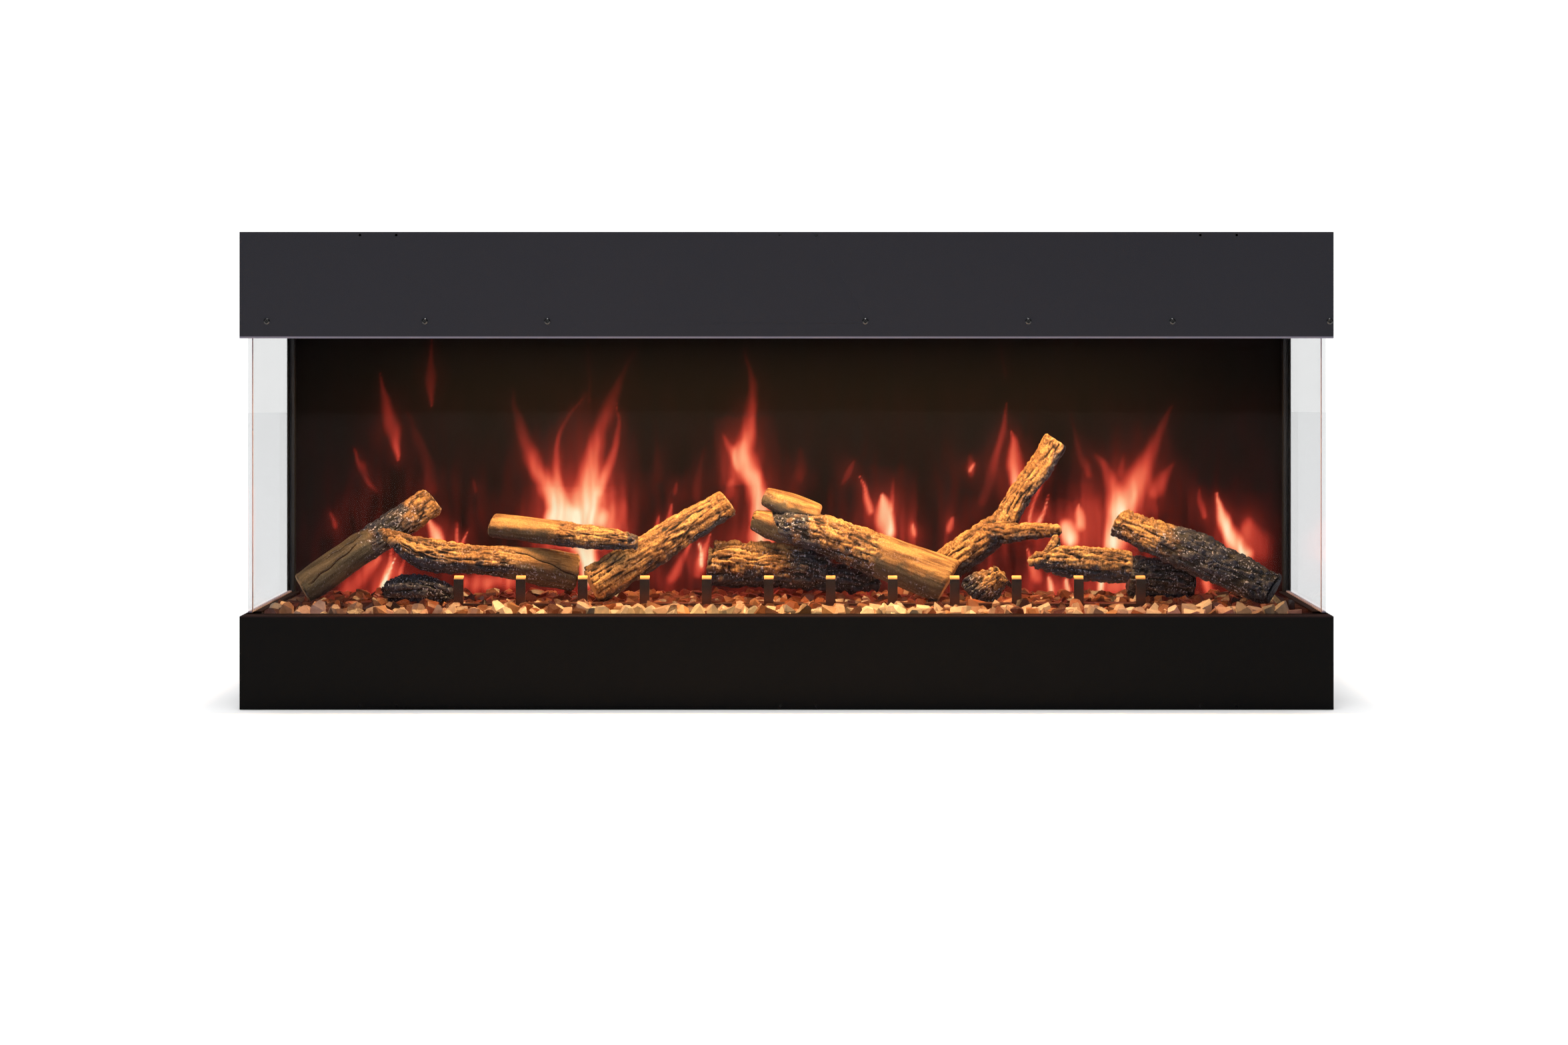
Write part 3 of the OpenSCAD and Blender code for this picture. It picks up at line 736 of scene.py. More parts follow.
@dataclass(frozen=True)
class Branch:
    """One limb of a log, in millimetres of the fireplace's frame.

    Rings give the limb's thickness along it: share of the length, radius across, radius up,
    shift to the back and shift up.
    """

    start: Point
    end: Point
    rings: tuple[tuple[float, ...], ...]
    spokes: tuple[float, ...] = (1.0,) * 10
    lean_start: float = 0.0
    lean_end: float = 0.0

    # How far a ring is moved aside once it is shaped, so that the next pick leaves it out
    ASIDE: ClassVar[float] = 10.0

    def frame(self) -> Matrix:
        """Returns the limb's own frame: X along it, Z up."""
        start, end = Vector(self.start) * MM, Vector(self.end) * MM
        along = (end - start).normalized()
        back = Vector((0.0, 0.0, 1.0)).cross(along).normalized()
        up = along.cross(back)
        turn = Matrix((along, back, up)).transposed().to_4x4()
        return Matrix.Translation(start) @ turn

    def length(self) -> float:
        """Returns the limb's length in metres."""
        return (Vector(self.end) - Vector(self.start)).length * MM

    def cage(self, name: str) -> bpy.types.Object:
        """Models the limb's cage by hand: a tube, its rings and spokes moved, its ends leaned.

        Args:
            name: the object's name.

        Returns:
            A closed limb in its own frame, lying along X.
        """
        length, sides = self.length(), len(self.spokes)
        clear_selection()
        bpy.ops.mesh.primitive_cylinder_add(
            vertices=sides, radius=MM, depth=length, end_fill_type="NGON",
            location=(length / 2, 0.0, 0.0), rotation=(0.0, math.pi / 2, 0.0),
        )
        piece = named(name)
        bpy.ops.object.transform_apply(location=True, rotation=True, scale=True)
        with editing(piece):
            pick(Kind.EDGES, lambda e: abs(e.verts[0].co.x - e.verts[1].co.x) > length * 0.9)
            bpy.ops.mesh.subdivide(number_cuts=len(self.rings) - 2)
            self.shape_rings(length)
            self.shape_ends(length)
        return piece

    def shape_rings(self, length: float) -> None:
        """Widens each ring, draws out its spokes and moves it. The limb is in edit mode."""
        mesh = bpy.context.edit_object.data
        count = len(self.rings)
        for number, (_, across, high, *_) in enumerate(self.rings):
            even = length * number / (count - 1)
            pick(Kind.VERTS, lambda v: abs(v.co.x - even) < length * 0.2 / count)
            bpy.ops.transform.resize(value=(1.0, across, high), center_override=(even, 0.0, 0.0))
        for number, spoke in enumerate(self.spokes):
            if spoke == 1.0:
                continue
            angle = 2.0 * math.pi * number / len(self.spokes)
            shape = bmesh.from_edit_mesh(mesh)
            for vert in shape.verts:
                own = math.atan2(vert.co.z, vert.co.y) % (2.0 * math.pi)
                if abs((own - angle + math.pi) % (2.0 * math.pi) - math.pi) < 0.2:
                    vert.co.y *= spoke
                    vert.co.z *= spoke
            bmesh.update_edit_mesh(mesh)
        for number, (share, _, _, back, up) in enumerate(self.rings):
            even = length * number / (count - 1)
            pick(Kind.VERTS, lambda v: abs(v.co.x - even) < length * 0.2 / count)
            along = length * share - even
            bpy.ops.transform.translate(value=(along - self.ASIDE, back * MM, up * MM))
        bpy.ops.mesh.select_all(action="SELECT")
        bpy.ops.transform.translate(value=(self.ASIDE, 0.0, 0.0))

    def shape_ends(self, length: float) -> None:
        """Leans the two cut ends and gives them a firm rim. The limb is in edit mode."""
        mesh = bpy.context.edit_object.data
        shape = bmesh.from_edit_mesh(mesh)
        for vert in shape.verts:
            if vert.co.x < length * 0.02:
                vert.co.x += vert.co.z * self.lean_start
            elif vert.co.x > length * 0.98:
                vert.co.x += vert.co.z * self.lean_end
        bmesh.update_edit_mesh(mesh)
        pick(Kind.FACES, lambda f: len(f.verts) > 4)
        bpy.ops.mesh.bevel(offset=1.6 * MM, segments=2, affect="EDGES")
        pick(Kind.FACES, lambda f: len(f.verts) > 4)
        bpy.ops.mesh.inset(thickness=7.0 * MM)
        bpy.ops.mesh.inset(thickness=6.0 * MM)


@dataclass(frozen=True)
class LogPiece:
    """One cast log: its limbs, how its bark is broken up, where it is burnt and where shade is painted.

    char, split and fresh each give two shares of the length: where that state begins and where
    it is full. under gives the same by height, in half-thicknesses above the middle, for the char
    below, which is partly char and partly painted shade. bark and blisters set how high the fine
    and the slow relief stand. plates are the bark plates' sizes and remesh the skin's cell, in
    millimetres. A crack runs from a share of the length and an angle in degrees to another share
    and angle.
    """

    name: str
    node: str
    limbs: tuple[Branch, ...]
    char: tuple[float, float] = (2.0, 2.1)
    under: tuple[float, float] = (-0.5, -1.0)
    split: tuple[float, float] = (2.0, 2.1)
    ash: float = 0.5
    bark: float = 3.6
    plates: Point = (24.0, 10.0, 10.0)
    blisters: float = 2.0
    cracks: tuple[tuple[float, float, float, float], ...] = ()
    grey: float = 0.0
    fresh: tuple[float, float] = (2.0, 2.1)
    seed: int = 1
    remesh: float = 0.0

    # Metres added to each limb's place along, so that no two limbs share their grain
    APART: ClassVar[float] = 0.37

    def build(self) -> None:
        """Models the log, burns it and puts it in its place."""
        parts = []
        for number, limb in enumerate(self.limbs):
            part = limb.cage(f"{self.name}_limb{number}")
            modify(part, "SUBSURF", levels=4, render_levels=4)
            part.data.transform(limb.frame())
            parts.append(part)
        piece = self.join(parts)
        self.lumps(piece)
        self.carve(piece)
        choose(piece)
        bpy.ops.object.shade_smooth()
        settle(piece, LogFinish(), "log_char" if self.char[0] < 0 else "log_bark", self.node)

    def join(self, parts: list[bpy.types.Object]) -> bpy.types.Object:
        """Joins the limbs, and grows several into one skin."""
        clear_selection()
        for part in parts:
            part.select_set(True)
        bpy.context.view_layer.objects.active = parts[0]
        if len(parts) > 1:
            bpy.ops.object.join()
        piece = named(self.name)
        if self.remesh:
            modify(piece, "REMESH", mode="VOXEL", voxel_size=self.remesh * MM)
            modify(piece, "SMOOTH", factor=0.5, iterations=4)
        return piece

    def lumps(self, piece: bpy.types.Object) -> None:
        """Gives the log its slow swellings, and thins it by the bark that is raised later."""
        texture = bpy.data.textures.new(f"{self.name}_lumps", "CLOUDS")
        texture.noise_scale = 0.045
        texture.noise_depth = 1
        modify(
            piece, "DISPLACE", texture=texture, texture_coords="GLOBAL",
            strength=self.blisters * 2.0 * MM, mid_level=0.5 + self.bark / (self.blisters * 4.0),
        )

    def places(self, points: np.ndarray) -> tuple[np.ndarray, ...]:
        """Finds each point's place on the nearest limb.

        Args:
            points: places in metres.

        Returns:
            Places in the limbs' frames, the share along, and the limb's half-thickness there.
        """
        best = np.full(len(points), 1e9)
        own = np.zeros((len(points), 3))
        share = np.zeros(len(points))
        girth = np.ones(len(points))
        for number, limb in enumerate(self.limbs):
            inverse = np.array(limb.frame().inverted())
            local = points @ inverse[:3, :3].T + inverse[:3, 3]
            length = limb.length()
            stations, across, high, back, above = np.array(limb.rings).T
            part = np.clip(local[:, 0] / length, 0.0, 1.0)
            radius = np.interp(part, stations, (across + high) / 2.0 * MM)
            shift = np.stack([np.interp(part, stations, way * MM) for way in (back, above)], axis=1)
            flat = local[:, 1:] - shift
            beyond = local[:, 0] - part * length
            reach = np.hypot(np.linalg.norm(flat, axis=1), beyond) / radius
            near = reach < best
            best[near] = reach[near]
            own[near] = np.column_stack([local[:, 0] + number * self.APART, flat])[near]
            share[near] = (part if number == 0 else 1.0 + part)[near]
            girth[near] = radius[near]
        return own, share, girth

    def carve(self, piece: bpy.types.Object) -> None:
        """Paints bark, char, ash and painted shade below, and raises the relief by its own weights."""
        points, normals = points_of(piece), points_of(piece, True)
        own, share, girth = self.places(points)
        first = np.array(self.limbs[0].frame().inverted())[:3, :3]
        facing = normals @ first.T
        soft = np.array([
            noise.fractal(Vector(p) * 60.0 + Vector((self.seed * 7.0, 0.0, 0.0)), 0.8, 2.0, 3)
            for p in points
        ])
        sawn = ramp(np.abs(facing[:, 0]), 0.72, 0.86) * (
            (share < 0.06) | ((share > 0.94) & (share < 1.0)) | (share > 1.93)
        )
        up = own[:, 2] / girth
        split = ramp(share + soft * 0.05, *self.split)
        burnt_end = ramp(share + soft * 0.1, *self.char)
        # Dark below the middle: partly char, partly painted shade on the underside
        char_and_shade_below = ramp(up + soft * 0.35, *self.under) * (1.0 - split * 0.55)
        char = np.maximum(burnt_end, char_and_shade_below)
        char *= 1.0 - ramp(share + soft * 0.08, *self.fresh)
        plate = self.plate_heights(own, soft)
        grainy = 0.62 + np.array([
            noise.noise(Vector((p[0] * 14.0, p[1] * 170.0, p[2] * 170.0))) for p in own
        ]) * 0.16
        smooth_part = np.maximum(split * (1.0 - char * 0.75), sawn)
        relief = plate * (1.0 - smooth_part) + grainy * smooth_part
        relief *= 1.0 - self.crack_depth(own, share, girth)
        relief = np.clip(relief, 0.0, 1.0)
        edge = ramp(char, 0.02, 0.4) * (1.0 - ramp(char, 0.9, 1.0) * 0.45)
        ash = np.clip(self.ash * (0.35 + edge) * (1.0 - split * 0.5), 0.0, 1.0)
        # grey: the log's given grey, plus painted shade that grows towards the underside
        for label, values in (
            ("log_place", own), ("relief", relief), ("char", char),
            ("split", split), ("sawn", sawn), ("ash", ash),
            ("grey", np.clip(self.grey + ramp(-up + soft * 0.3, -0.3, 0.15) * 0.9, 0.0, 1.0)),
        ):
            write_data(piece, label, values)
        group = piece.vertex_groups.new(name="raised")
        for index, weight in enumerate(relief):
            group.add((index,), float(weight), "REPLACE")
        modify(
            piece, "DISPLACE", vertex_group="raised", strength=self.bark * 1.7 * MM, mid_level=0.0,
        )
        piece.vertex_groups.clear()

    def plate_heights(self, own: np.ndarray, soft: np.ndarray) -> np.ndarray:
        """Returns the height of the bark plates, 0 in a furrow and 1 on a plate."""
        scale = Vector([1.0 / (size * MM) for size in self.plates])
        heights = np.empty(len(own))
        for index, place in enumerate(own):
            spot = Vector((
                place[0] * scale[0] + soft[index] * 0.5 + self.seed,
                place[1] * scale[1] + soft[index] * 0.4,
                place[2] * scale[2],
            ))
            near, far = noise.voronoi(spot, distance_metric="CHEBYCHEV")[0][:2]
            rough = noise.fractal(
                Vector((place[0] * 85.0, place[1] * 210.0, place[2] * 210.0)), 0.5, 2.1, 3
            )
            long_furrow = abs(noise.noise(Vector((
                place[0] * 16.0 + self.seed, place[1] * 150.0, place[2] * 150.0
            ))))
            plate = min(1.0, (far - near) * 3.2)
            furrow = min(1.0, long_furrow * 4.0)
            heights[index] = 0.12 + plate * 0.36 + furrow * 0.4 + rough * 1.2 / max(3.4, self.bark)
        return heights

    def crack_depth(self, own: np.ndarray, share: np.ndarray, girth: np.ndarray) -> np.ndarray:
        """Returns how deep the drying cracks are at each point, 0 to 1.

        Args:
            own: places on the limbs.
            share: the share along.
            girth: the half-thickness.

        Returns:
            The depth at each point.
        """
        depth = np.zeros(len(own))
        turn = np.degrees(np.arctan2(own[:, 2], own[:, 1]))
        for from_share, from_turn, to_share, to_turn in self.cracks:
            part = (share - from_share) / (to_share - from_share)
            middle = from_turn + (to_turn - from_turn) * part + np.sin(part * 19.0) * 3.0
            apart = np.radians((turn - middle + 180.0) % 360.0 - 180.0) * girth
            inside = ramp(part, -0.02, 0.12) * (1.0 - ramp(part, 0.85, 1.02))
            depth = np.maximum(depth, inside * np.exp(-((apart / (1.1 * MM)) ** 2)))
        return depth


class LogSet:
    """The twelve logs on the stones."""

    PIECES: ClassVar[tuple[LogPiece, ...]] = (
        LogPiece(
            "left_long_log", "log_left_long",
            (Branch(
                (-652, -32, 136), (-488, 23, 250),
                ((0.0, 21, 21.5, 0, 0), (0.12, 22, 22, 0, 0), (0.26, 21.5, 21.5, 1, 0),
                 (0.4, 21.5, 21, 0, 1), (0.55, 21, 21, 0, 0), (0.7, 20.5, 20, 0, -1),
                 (0.86, 20, 20, 1, 0), (1.0, 19.5, 19.5, 0, 0)),
                lean_start=0.05, lean_end=-0.1,
            ),),
            char=(0.46, 0.54), split=(0.56, 0.48), ash=1.0, plates=(11.0, 8.0, 8.0), bark=3.0,
            fresh=(0.74, 0.88),
            under=(-0.6, -0.9), cracks=((0.03, 172.0, 0.46, 150.0), (0.2, 120.0, 0.5, 128.0)),
            grey=0.9, seed=3,
        ),
        LogPiece(
            "left_split_log", "log_left_split",
            (Branch(
                (-524, -42, 190), (-290, 8, 153),
                ((0.0, 15, 16, 0, 8), (0.1, 17, 21, 0, 0), (0.22, 18, 21, 0, -3),
                 (0.36, 18, 18, 0, -2), (0.5, 19, 18, 0, 0), (0.64, 20, 21, 0, 3),
                 (0.82, 21, 25, 0, 2), (1.0, 22, 26, 0, 0)),
                spokes=(1.0, 1.08, 0.92, 1.1, 0.86, 1.06, 0.94, 0.9, 1.1, 0.95),
                lean_start=-1.15, lean_end=0.02,
            ),),
            char=(4.0, 4.1), under=(0.12, -0.32), split=(0.6, 0.68), ash=0.8,
            cracks=((0.62, 118.0, 1.02, 196.0), (0.0, 168.0, 0.24, 190.0)),
            plates=(16.0, 8.0, 8.0), bark=3.4, seed=11,
        ),
        LogPiece(
            "left_char_block", "log_char_left",
            (Branch(
                (-541, -33, 134), (-452, -30, 133),
                ((0.0, 14, 12, 0, 0), (0.16, 18, 17, 0, 1), (0.4, 19, 19, 0, 2),
                 (0.65, 18, 17, 0, 0), (0.85, 15, 14, 0, -3), (1.0, 10, 9, 0, -6)),
                spokes=(1.0, 0.9, 1.08, 0.92, 1.05, 1.0, 0.92, 1.0, 1.05, 0.95),
            ),),
            char=(-1.0, -0.9), ash=1.0, plates=(9.0, 8.0, 8.0), bark=4.0, seed=5,
        ),
        LogPiece(
            "top_left_log", "log_top_left",
            (Branch(
                (-402, 8, 217), (-203, -58, 203),
                ((0.0, 15, 17, 0, 0), (0.14, 16, 17, 0, 0), (0.3, 16, 17, 0, -1),
                 (0.46, 15.5, 16, 0, 0), (0.6, 15, 16, 0, -2), (0.76, 14, 15, 0, -1),
                 (0.9, 12, 12, 0, -1), (1.0, 6, 7, 0, -2)),
                spokes=(1.0, 1.05, 0.93, 1.04, 0.95, 1.05, 0.9, 0.92, 1.06, 1.0),
                lean_start=0.25,
            ),),
            char=(0.9, 1.0), under=(-0.2, -0.6), split=(0.5, 0.42), ash=0.4,
            plates=(15.0, 8.0, 8.0), bark=2.8, blisters=1.4, seed=17,
        ),
        LogPiece(
            "centre_left_log", "log_centre_left",
            (Branch(
                (-262, -38, 140), (-84, 9, 248),
                ((0.0, 26, 26, 0, 0), (0.14, 25, 25, 0, 0), (0.3, 24, 24, 0, 0),
                 (0.46, 23, 23, 0, 0), (0.62, 21.5, 21.5, 0, 0), (0.8, 20, 20, 0, 0),
                 (1.0, 18.5, 18.5, 0, 0)),
                lean_start=0.1, lean_end=-0.12,
            ),),
            char=(4.0, 4.1), under=(-0.4, -0.8), ash=0.35, plates=(20.0, 8.5, 8.5), bark=3.2,
            blisters=1.2, seed=23,
        ),
        LogPiece(
            "centre_block_log", "log_char_block",
            (
                Branch(
                    (-106, 18, 165), (54, 18, 156),
                    ((0.0, 24, 26, 0, 0), (0.16, 26, 27, 0, 2), (0.32, 27, 26, 0, 1),
                     (0.5, 27, 27, 0, 2), (0.66, 26, 28, 0, 0), (0.84, 26, 26, 0, -1),
                     (1.0, 20, 21, 0, -2)),
                    spokes=(1.0, 1.06, 0.94, 1.06, 0.92, 1.05, 0.94, 1.0, 1.05, 0.96),
                ),
                Branch(
                    (40, 18, 146), (124, 18, 139),
                    ((0.0, 15, 15, 0, 0), (0.3, 16, 15, 0, 1), (0.6, 15, 14, 0, 0),
                     (0.85, 12, 11, 0, -1), (1.0, 7, 7, 0, -2)),
                ),
            ),
            char=(0.56, 0.8), under=(0.1, -0.5), ash=0.7, plates=(30.0, 10.0, 10.0), bark=6.5,
            blisters=3.0, seed=31, remesh=1.3,
        ),
        LogPiece(
            "centre_right_log", "log_centre_right",
            (
                Branch(
                    (-6, -2, 226), (214, -40, 147),
                    ((0.0, 22, 18, 0, -6), (0.1, 25, 23, 0, -3), (0.25, 26, 26, 0, 0),
                     (0.4, 27, 27, 0, 0), (0.55, 28, 28, 0, 0), (0.7, 29, 29, 0, 0),
                     (0.86, 31, 31, 0, -1), (1.0, 32, 32, 0, -1)),
                    lean_end=0.16,
                ),
                Branch(
                    (-32, 6, 257), (40, -2, 232),
                    ((0.0, 14, 12, 0, 0), (0.3, 16, 15, 0, 0), (0.65, 17, 16, 0, 0),
                     (1.0, 17, 14, 0, 0)),
                ),
                Branch(
                    (-48, 2, 226), (40, -6, 208),
                    ((0.0, 13, 13, 0, 0), (0.3, 16, 20, 0, -4), (0.65, 18, 20, 0, -2),
                     (1.0, 17, 14, 0, 0)),
                ),
            ),
            char=(0.2, 0.08), under=(-0.12, -0.6), split=(0.56, 0.62), ash=0.75,
            plates=(17.0, 8.0, 8.0), bark=3.4, blisters=1.4, seed=41, remesh=1.5,
        ),
        LogPiece(
            "forked_branch", "log_forked",
            (
                Branch(
                    (188, 24, 140), (296, 24, 218),
                    ((0.0, 22, 22, 0, 0), (0.3, 22, 23, 0, 0), (0.6, 20, 23, 0, 0),
                     (0.85, 18, 20, 0, 0), (1.0, 15, 17, 0, 0)),
                ),
                Branch(
                    (284, 24, 204), (368, 32, 330),
                    ((0.0, 16, 18, 0, 0), (0.2, 15, 17, 0, 0), (0.4, 14, 15, 0, 2),
                     (0.6, 14, 15.5, 0, 0), (0.8, 14.5, 16, 0, -1), (1.0, 15, 17, 0, 0)),
                ),
                Branch(
                    (276, 18, 212), (368, -12, 211),
                    ((0.0, 14, 14, 0, -4), (0.25, 13, 13, 0, -6), (0.5, 11, 11, 0, -3),
                     (0.75, 9.5, 9, 0, 0), (1.0, 8, 7, 0, 1)),
                ),
            ),
            char=(4.0, 4.1), under=(-0.02, -0.55), ash=0.35, plates=(18.0, 7.0, 7.0), bark=3.0,
            blisters=1.4, seed=47, remesh=1.3,
        ),
        LogPiece(
            "right_chip", "log_chip_right",
            (Branch(
                (248, -45, 126), (286, -45, 156),
                ((0.0, 13, 24, 0, 0), (0.3, 15, 25, 0, 0), (0.65, 13, 19, 0, 0),
                 (1.0, 9, 12, 0, 0)),
                spokes=(1.0, 0.9, 1.08, 0.92, 1.05, 1.0, 0.92, 1.05, 0.95, 1.0),
            ),),
            char=(0.62, 0.2), under=(-0.3, -0.7), ash=0.9, plates=(13.0, 8.0, 8.0), bark=3.4, seed=53,
        ),
        LogPiece(
            "bark_slab", "log_bark_slab",
            (
                Branch(
                    (320, -58, 176), (456, -54, 171),
                    ((0.0, 5, 5, 0, 0), (0.12, 11, 12, 0, 2), (0.28, 14, 17, 0, 3),
                     (0.45, 16, 20, 0, 2), (0.62, 17, 21, 0, 0), (0.8, 17, 22, 0, -2),
                     (1.0, 15, 20, 0, -4)),
                    spokes=(1.0, 1.1, 0.9, 1.08, 0.9, 1.06, 0.92, 0.94, 1.1, 0.96),
                ),
                Branch(
                    (346, -52, 180), (360, -50, 207),
                    ((0.0, 9, 9, 0, 0), (0.4, 8, 8, 0, 0), (0.75, 6.5, 7, 0, 0), (1.0, 5, 5, 0, 0)),
                ),
            ),
            char=(4.0, 4.1), under=(0.05, -0.4), ash=0.55, plates=(20.0, 9.0, 9.0), bark=4.0,
            blisters=2.6, seed=59, remesh=1.2,
        ),
        LogPiece(
            "right_char_block", "log_char_right",
            (Branch(
                (466, 14, 146), (552, 14, 140),
                ((0.0, 18, 25, 0, 2), (0.25, 20, 27, 0, 1), (0.5, 20, 26, 0, 0),
                 (0.78, 19, 24, 0, -1), (1.0, 13, 17, 0, -2)),
                spokes=(1.0, 1.05, 0.92, 1.05, 0.92, 1.05, 0.92, 1.0, 1.05, 0.95),
            ),),
            char=(-1.0, -0.9), ash=0.7, plates=(12.0, 9.0, 9.0), bark=4.5, seed=61,
        ),
        LogPiece(
            "right_long_log", "log_right_long",
            (Branch(
                (452, 9, 222), (642, -82, 141),
                ((0.0, 18, 18, 0, 0), (0.12, 20, 21, 0, 0), (0.28, 22, 22, 0, 0),
                 (0.42, 24, 25, 0, 1), (0.54, 25, 27, 0, 3), (0.66, 24, 25, 0, 0),
                 (0.84, 23, 23, 0, -1), (1.0, 20, 20, 0, -1)),
                lean_start=0.15, lean_end=0.1,
            ),),
            char=(0.22, 0.42), under=(-0.1, -0.6), ash=0.75, plates=(12.0, 9.0, 9.0), bark=4.4,
            blisters=3.0, seed=67,
        ),
    )

    def build(self) -> None:
        """Builds every log."""
        for piece in self.PIECES:
            piece.build()


# ---------------------------------------------------------------- stones and screen


@dataclass
class StoneBed:
    """The loose chips over the ember light, with a crushed layer below them.

    Places and sizes are in millimetres.
    """

    low: tuple[float, float] = (-681, -133)
    high: tuple[float, float] = (681, 78.5)
    pitch: float = 15.5
    jitter: float = 6.0
    front_rows: float = -98.0
    layer_middle: float = 105.0
    layer_thickness: float = 8.0
    lowest: float = 110.0
    highest: float = 116.5
    shape_count: int = 7
    cut_count: int = 9
    seed: int = 71

    # Painted light on the chips across the bed: place, colour and strength
    GLOW: ClassVar = (
        (-681, (0.7, 0.6, 0.62), 0.34), (-590, (0.85, 0.62, 0.56), 0.34), (-480, (1.0, 0.42, 0.24), 0.34),
        (-330, (1.0, 0.5, 0.2), 0.55), (-200, (1.0, 0.62, 0.24), 0.85), (0, (1.0, 0.68, 0.26), 1.05),
        (200, (1.0, 0.62, 0.26), 1.0), (330, (1.0, 0.5, 0.28), 0.7), (450, (1.0, 0.42, 0.3), 0.5),
        (560, (1.0, 0.36, 0.32), 0.32), (681, (0.9, 0.42, 0.4), 0.16),
    )
    # Share of the painted light that reaches a chip, and of red in it, from the front to the back
    FRONT_LIGHT: ClassVar = ((-133, -108, -85, -40, 78), (1.0, 0.9, 0.4, 0.2, 0.16))
    REDDENING: ClassVar = ((-110, -60, 0), (0.0, 0.45, 0.8))
    RED: ClassVar[Point] = (1.0, 0.13, 0.06)
    # The first three are the pale ones that the front rows favour
    TINTS: ClassVar = (
        (0.66, 0.54, 0.43), (0.74, 0.64, 0.54), (0.64, 0.44, 0.36), (0.3, 0.15, 0.07),
        (0.1, 0.03, 0.02), (0.5, 0.26, 0.14), (0.05, 0.02, 0.015), (0.2, 0.07, 0.03),
    )

    # How far the chips' tints are darkened in the front rows and behind them
    FRONT_SHADE: ClassVar[Point] = (0.62, 0.6, 0.58)
    BACK_SHADE: ClassVar[Point] = (0.3, 0.17, 0.11)

    def chip(self, number: int) -> bpy.types.Object:
        """Models one chip by hand: a cube cut by planes, then flattened.

        Args:
            number: which of the shapes.

        Returns:
            A closed chip about 1 m long, to be copied smaller.
        """
        rng = np.random.default_rng(self.seed + number)
        clear_selection()
        bpy.ops.mesh.primitive_cube_add(size=0.95)
        piece = named(f"chip_pattern{number}")
        with editing(piece):
            for _ in range(self.cut_count):
                way = Vector(rng.normal(size=3)).normalized()
                bpy.ops.mesh.select_all(action="SELECT")
                bpy.ops.mesh.bisect(
                    plane_co=way * rng.uniform(0.3, 0.44), plane_no=way, use_fill=True,
                    clear_outer=True,
                )
            bpy.ops.mesh.select_all(action="SELECT")
            bpy.ops.transform.resize(value=(1.2, 0.85, float(rng.uniform(0.6, 0.9))))
        modify(piece, "TRIANGULATE")
        return piece

    def painted_glow_at(self, x: float, y: float) -> np.ndarray:
        """Returns the colour of the light painted on the chips at a place in millimetres."""
        stops = np.array([stop[0] for stop in self.GLOW])
        colour = [np.interp(x, stops, [stop[1][band] for stop in self.GLOW]) for band in range(3)]
        power = np.interp(x, stops, [stop[2] for stop in self.GLOW])
        front = np.interp(y, *self.FRONT_LIGHT)
        red = np.interp(y, *self.REDDENING)
        blend = np.array(colour) * (1.0 - red) + np.array(self.RED) * red
        return blend * power * front

    def scatter(self) -> bpy.types.Object:
        """Copies the chips over the bed.

        Returns:
            One object with every chip as its own shell.
        """
        rng = np.random.default_rng(self.seed)
        patterns = [self.chip(number) for number in range(self.shape_count)]
        shapes = [
            (points_of(p), np.array([tuple(f.vertices) for f in p.data.polygons])) for p in patterns
        ]
        points, faces, tints, painted_glows = [], [], [], []
        total = 0
        for x in np.arange(self.low[0] + 9, self.high[0] - 6, self.pitch):
            for y in np.arange(self.low[1] + 9, self.high[1] - 6, self.pitch):
                px = x + rng.uniform(-self.jitter, self.jitter)
                px = float(np.clip(px, self.low[0] + 11, self.high[0] - 11))
                py = y + rng.uniform(-self.jitter, self.jitter)
                py = float(np.clip(py, self.low[1] + 10, self.high[1] - 10))
                shape, own_faces = shapes[rng.integers(len(shapes))]
                size = rng.uniform(17, 28) * (1.0 if py < -60 else 0.88)
                turn = Matrix.Rotation(rng.uniform(0, 6.28), 3, "Z") @ Matrix.Rotation(
                    rng.uniform(-0.7, 0.7), 3, "X"
                ) @ Matrix.Rotation(rng.uniform(-0.7, 0.7), 3, "Y")
                body = shape @ np.array(turn).T * size
                body[:, :2] = np.clip(body[:, :2], -10.5, 10.5)
                lift = rng.uniform(self.lowest, self.highest)
                points.append(body + (px, py, lift))
                faces.append(own_faces + total)
                total += len(body)
                in_front = py < self.front_rows
                choice = self.TINTS[:3] if in_front and rng.random() < 0.55 else self.TINTS
                darkened = np.array(self.FRONT_SHADE if in_front else self.BACK_SHADE)
                tint = np.array(choice[rng.integers(len(choice))]) * rng.uniform(0.6, 1.1) * darkened
                bright = rng.uniform(0.1, 1.15) ** 1.6 * (0.3 + (tint / darkened).max())
                # Painted light, stronger on the low part of each chip
                low_part = np.clip((118.0 - (body[:, 2] + lift)) / 10.0, 0.0, 1.0)
                glow = self.painted_glow_at(px, py) * bright * (tint / tint.max()) ** 0.9
                painted_glows.append(glow[None, :] * (0.62 + 0.5 * low_part[:, None]))
                tints.append(np.repeat(tint[None, :], len(body), axis=0))
        for pattern in patterns:
            bpy.data.objects.remove(pattern)
        mesh = bpy.data.meshes.new("fire_stones")
        mesh.from_pydata((np.vstack(points) * MM).tolist(), [], np.vstack(faces).tolist())
        piece = bpy.data.objects.new("fire_stones", mesh)
        bpy.context.scene.collection.objects.link(piece)
        opaque = np.ones((total, 1))
        write_data(piece, "stone_colour", np.hstack([np.vstack(tints), opaque]))
        write_data(piece, "stone_glow", np.hstack([np.vstack(painted_glows), opaque]))
        return piece

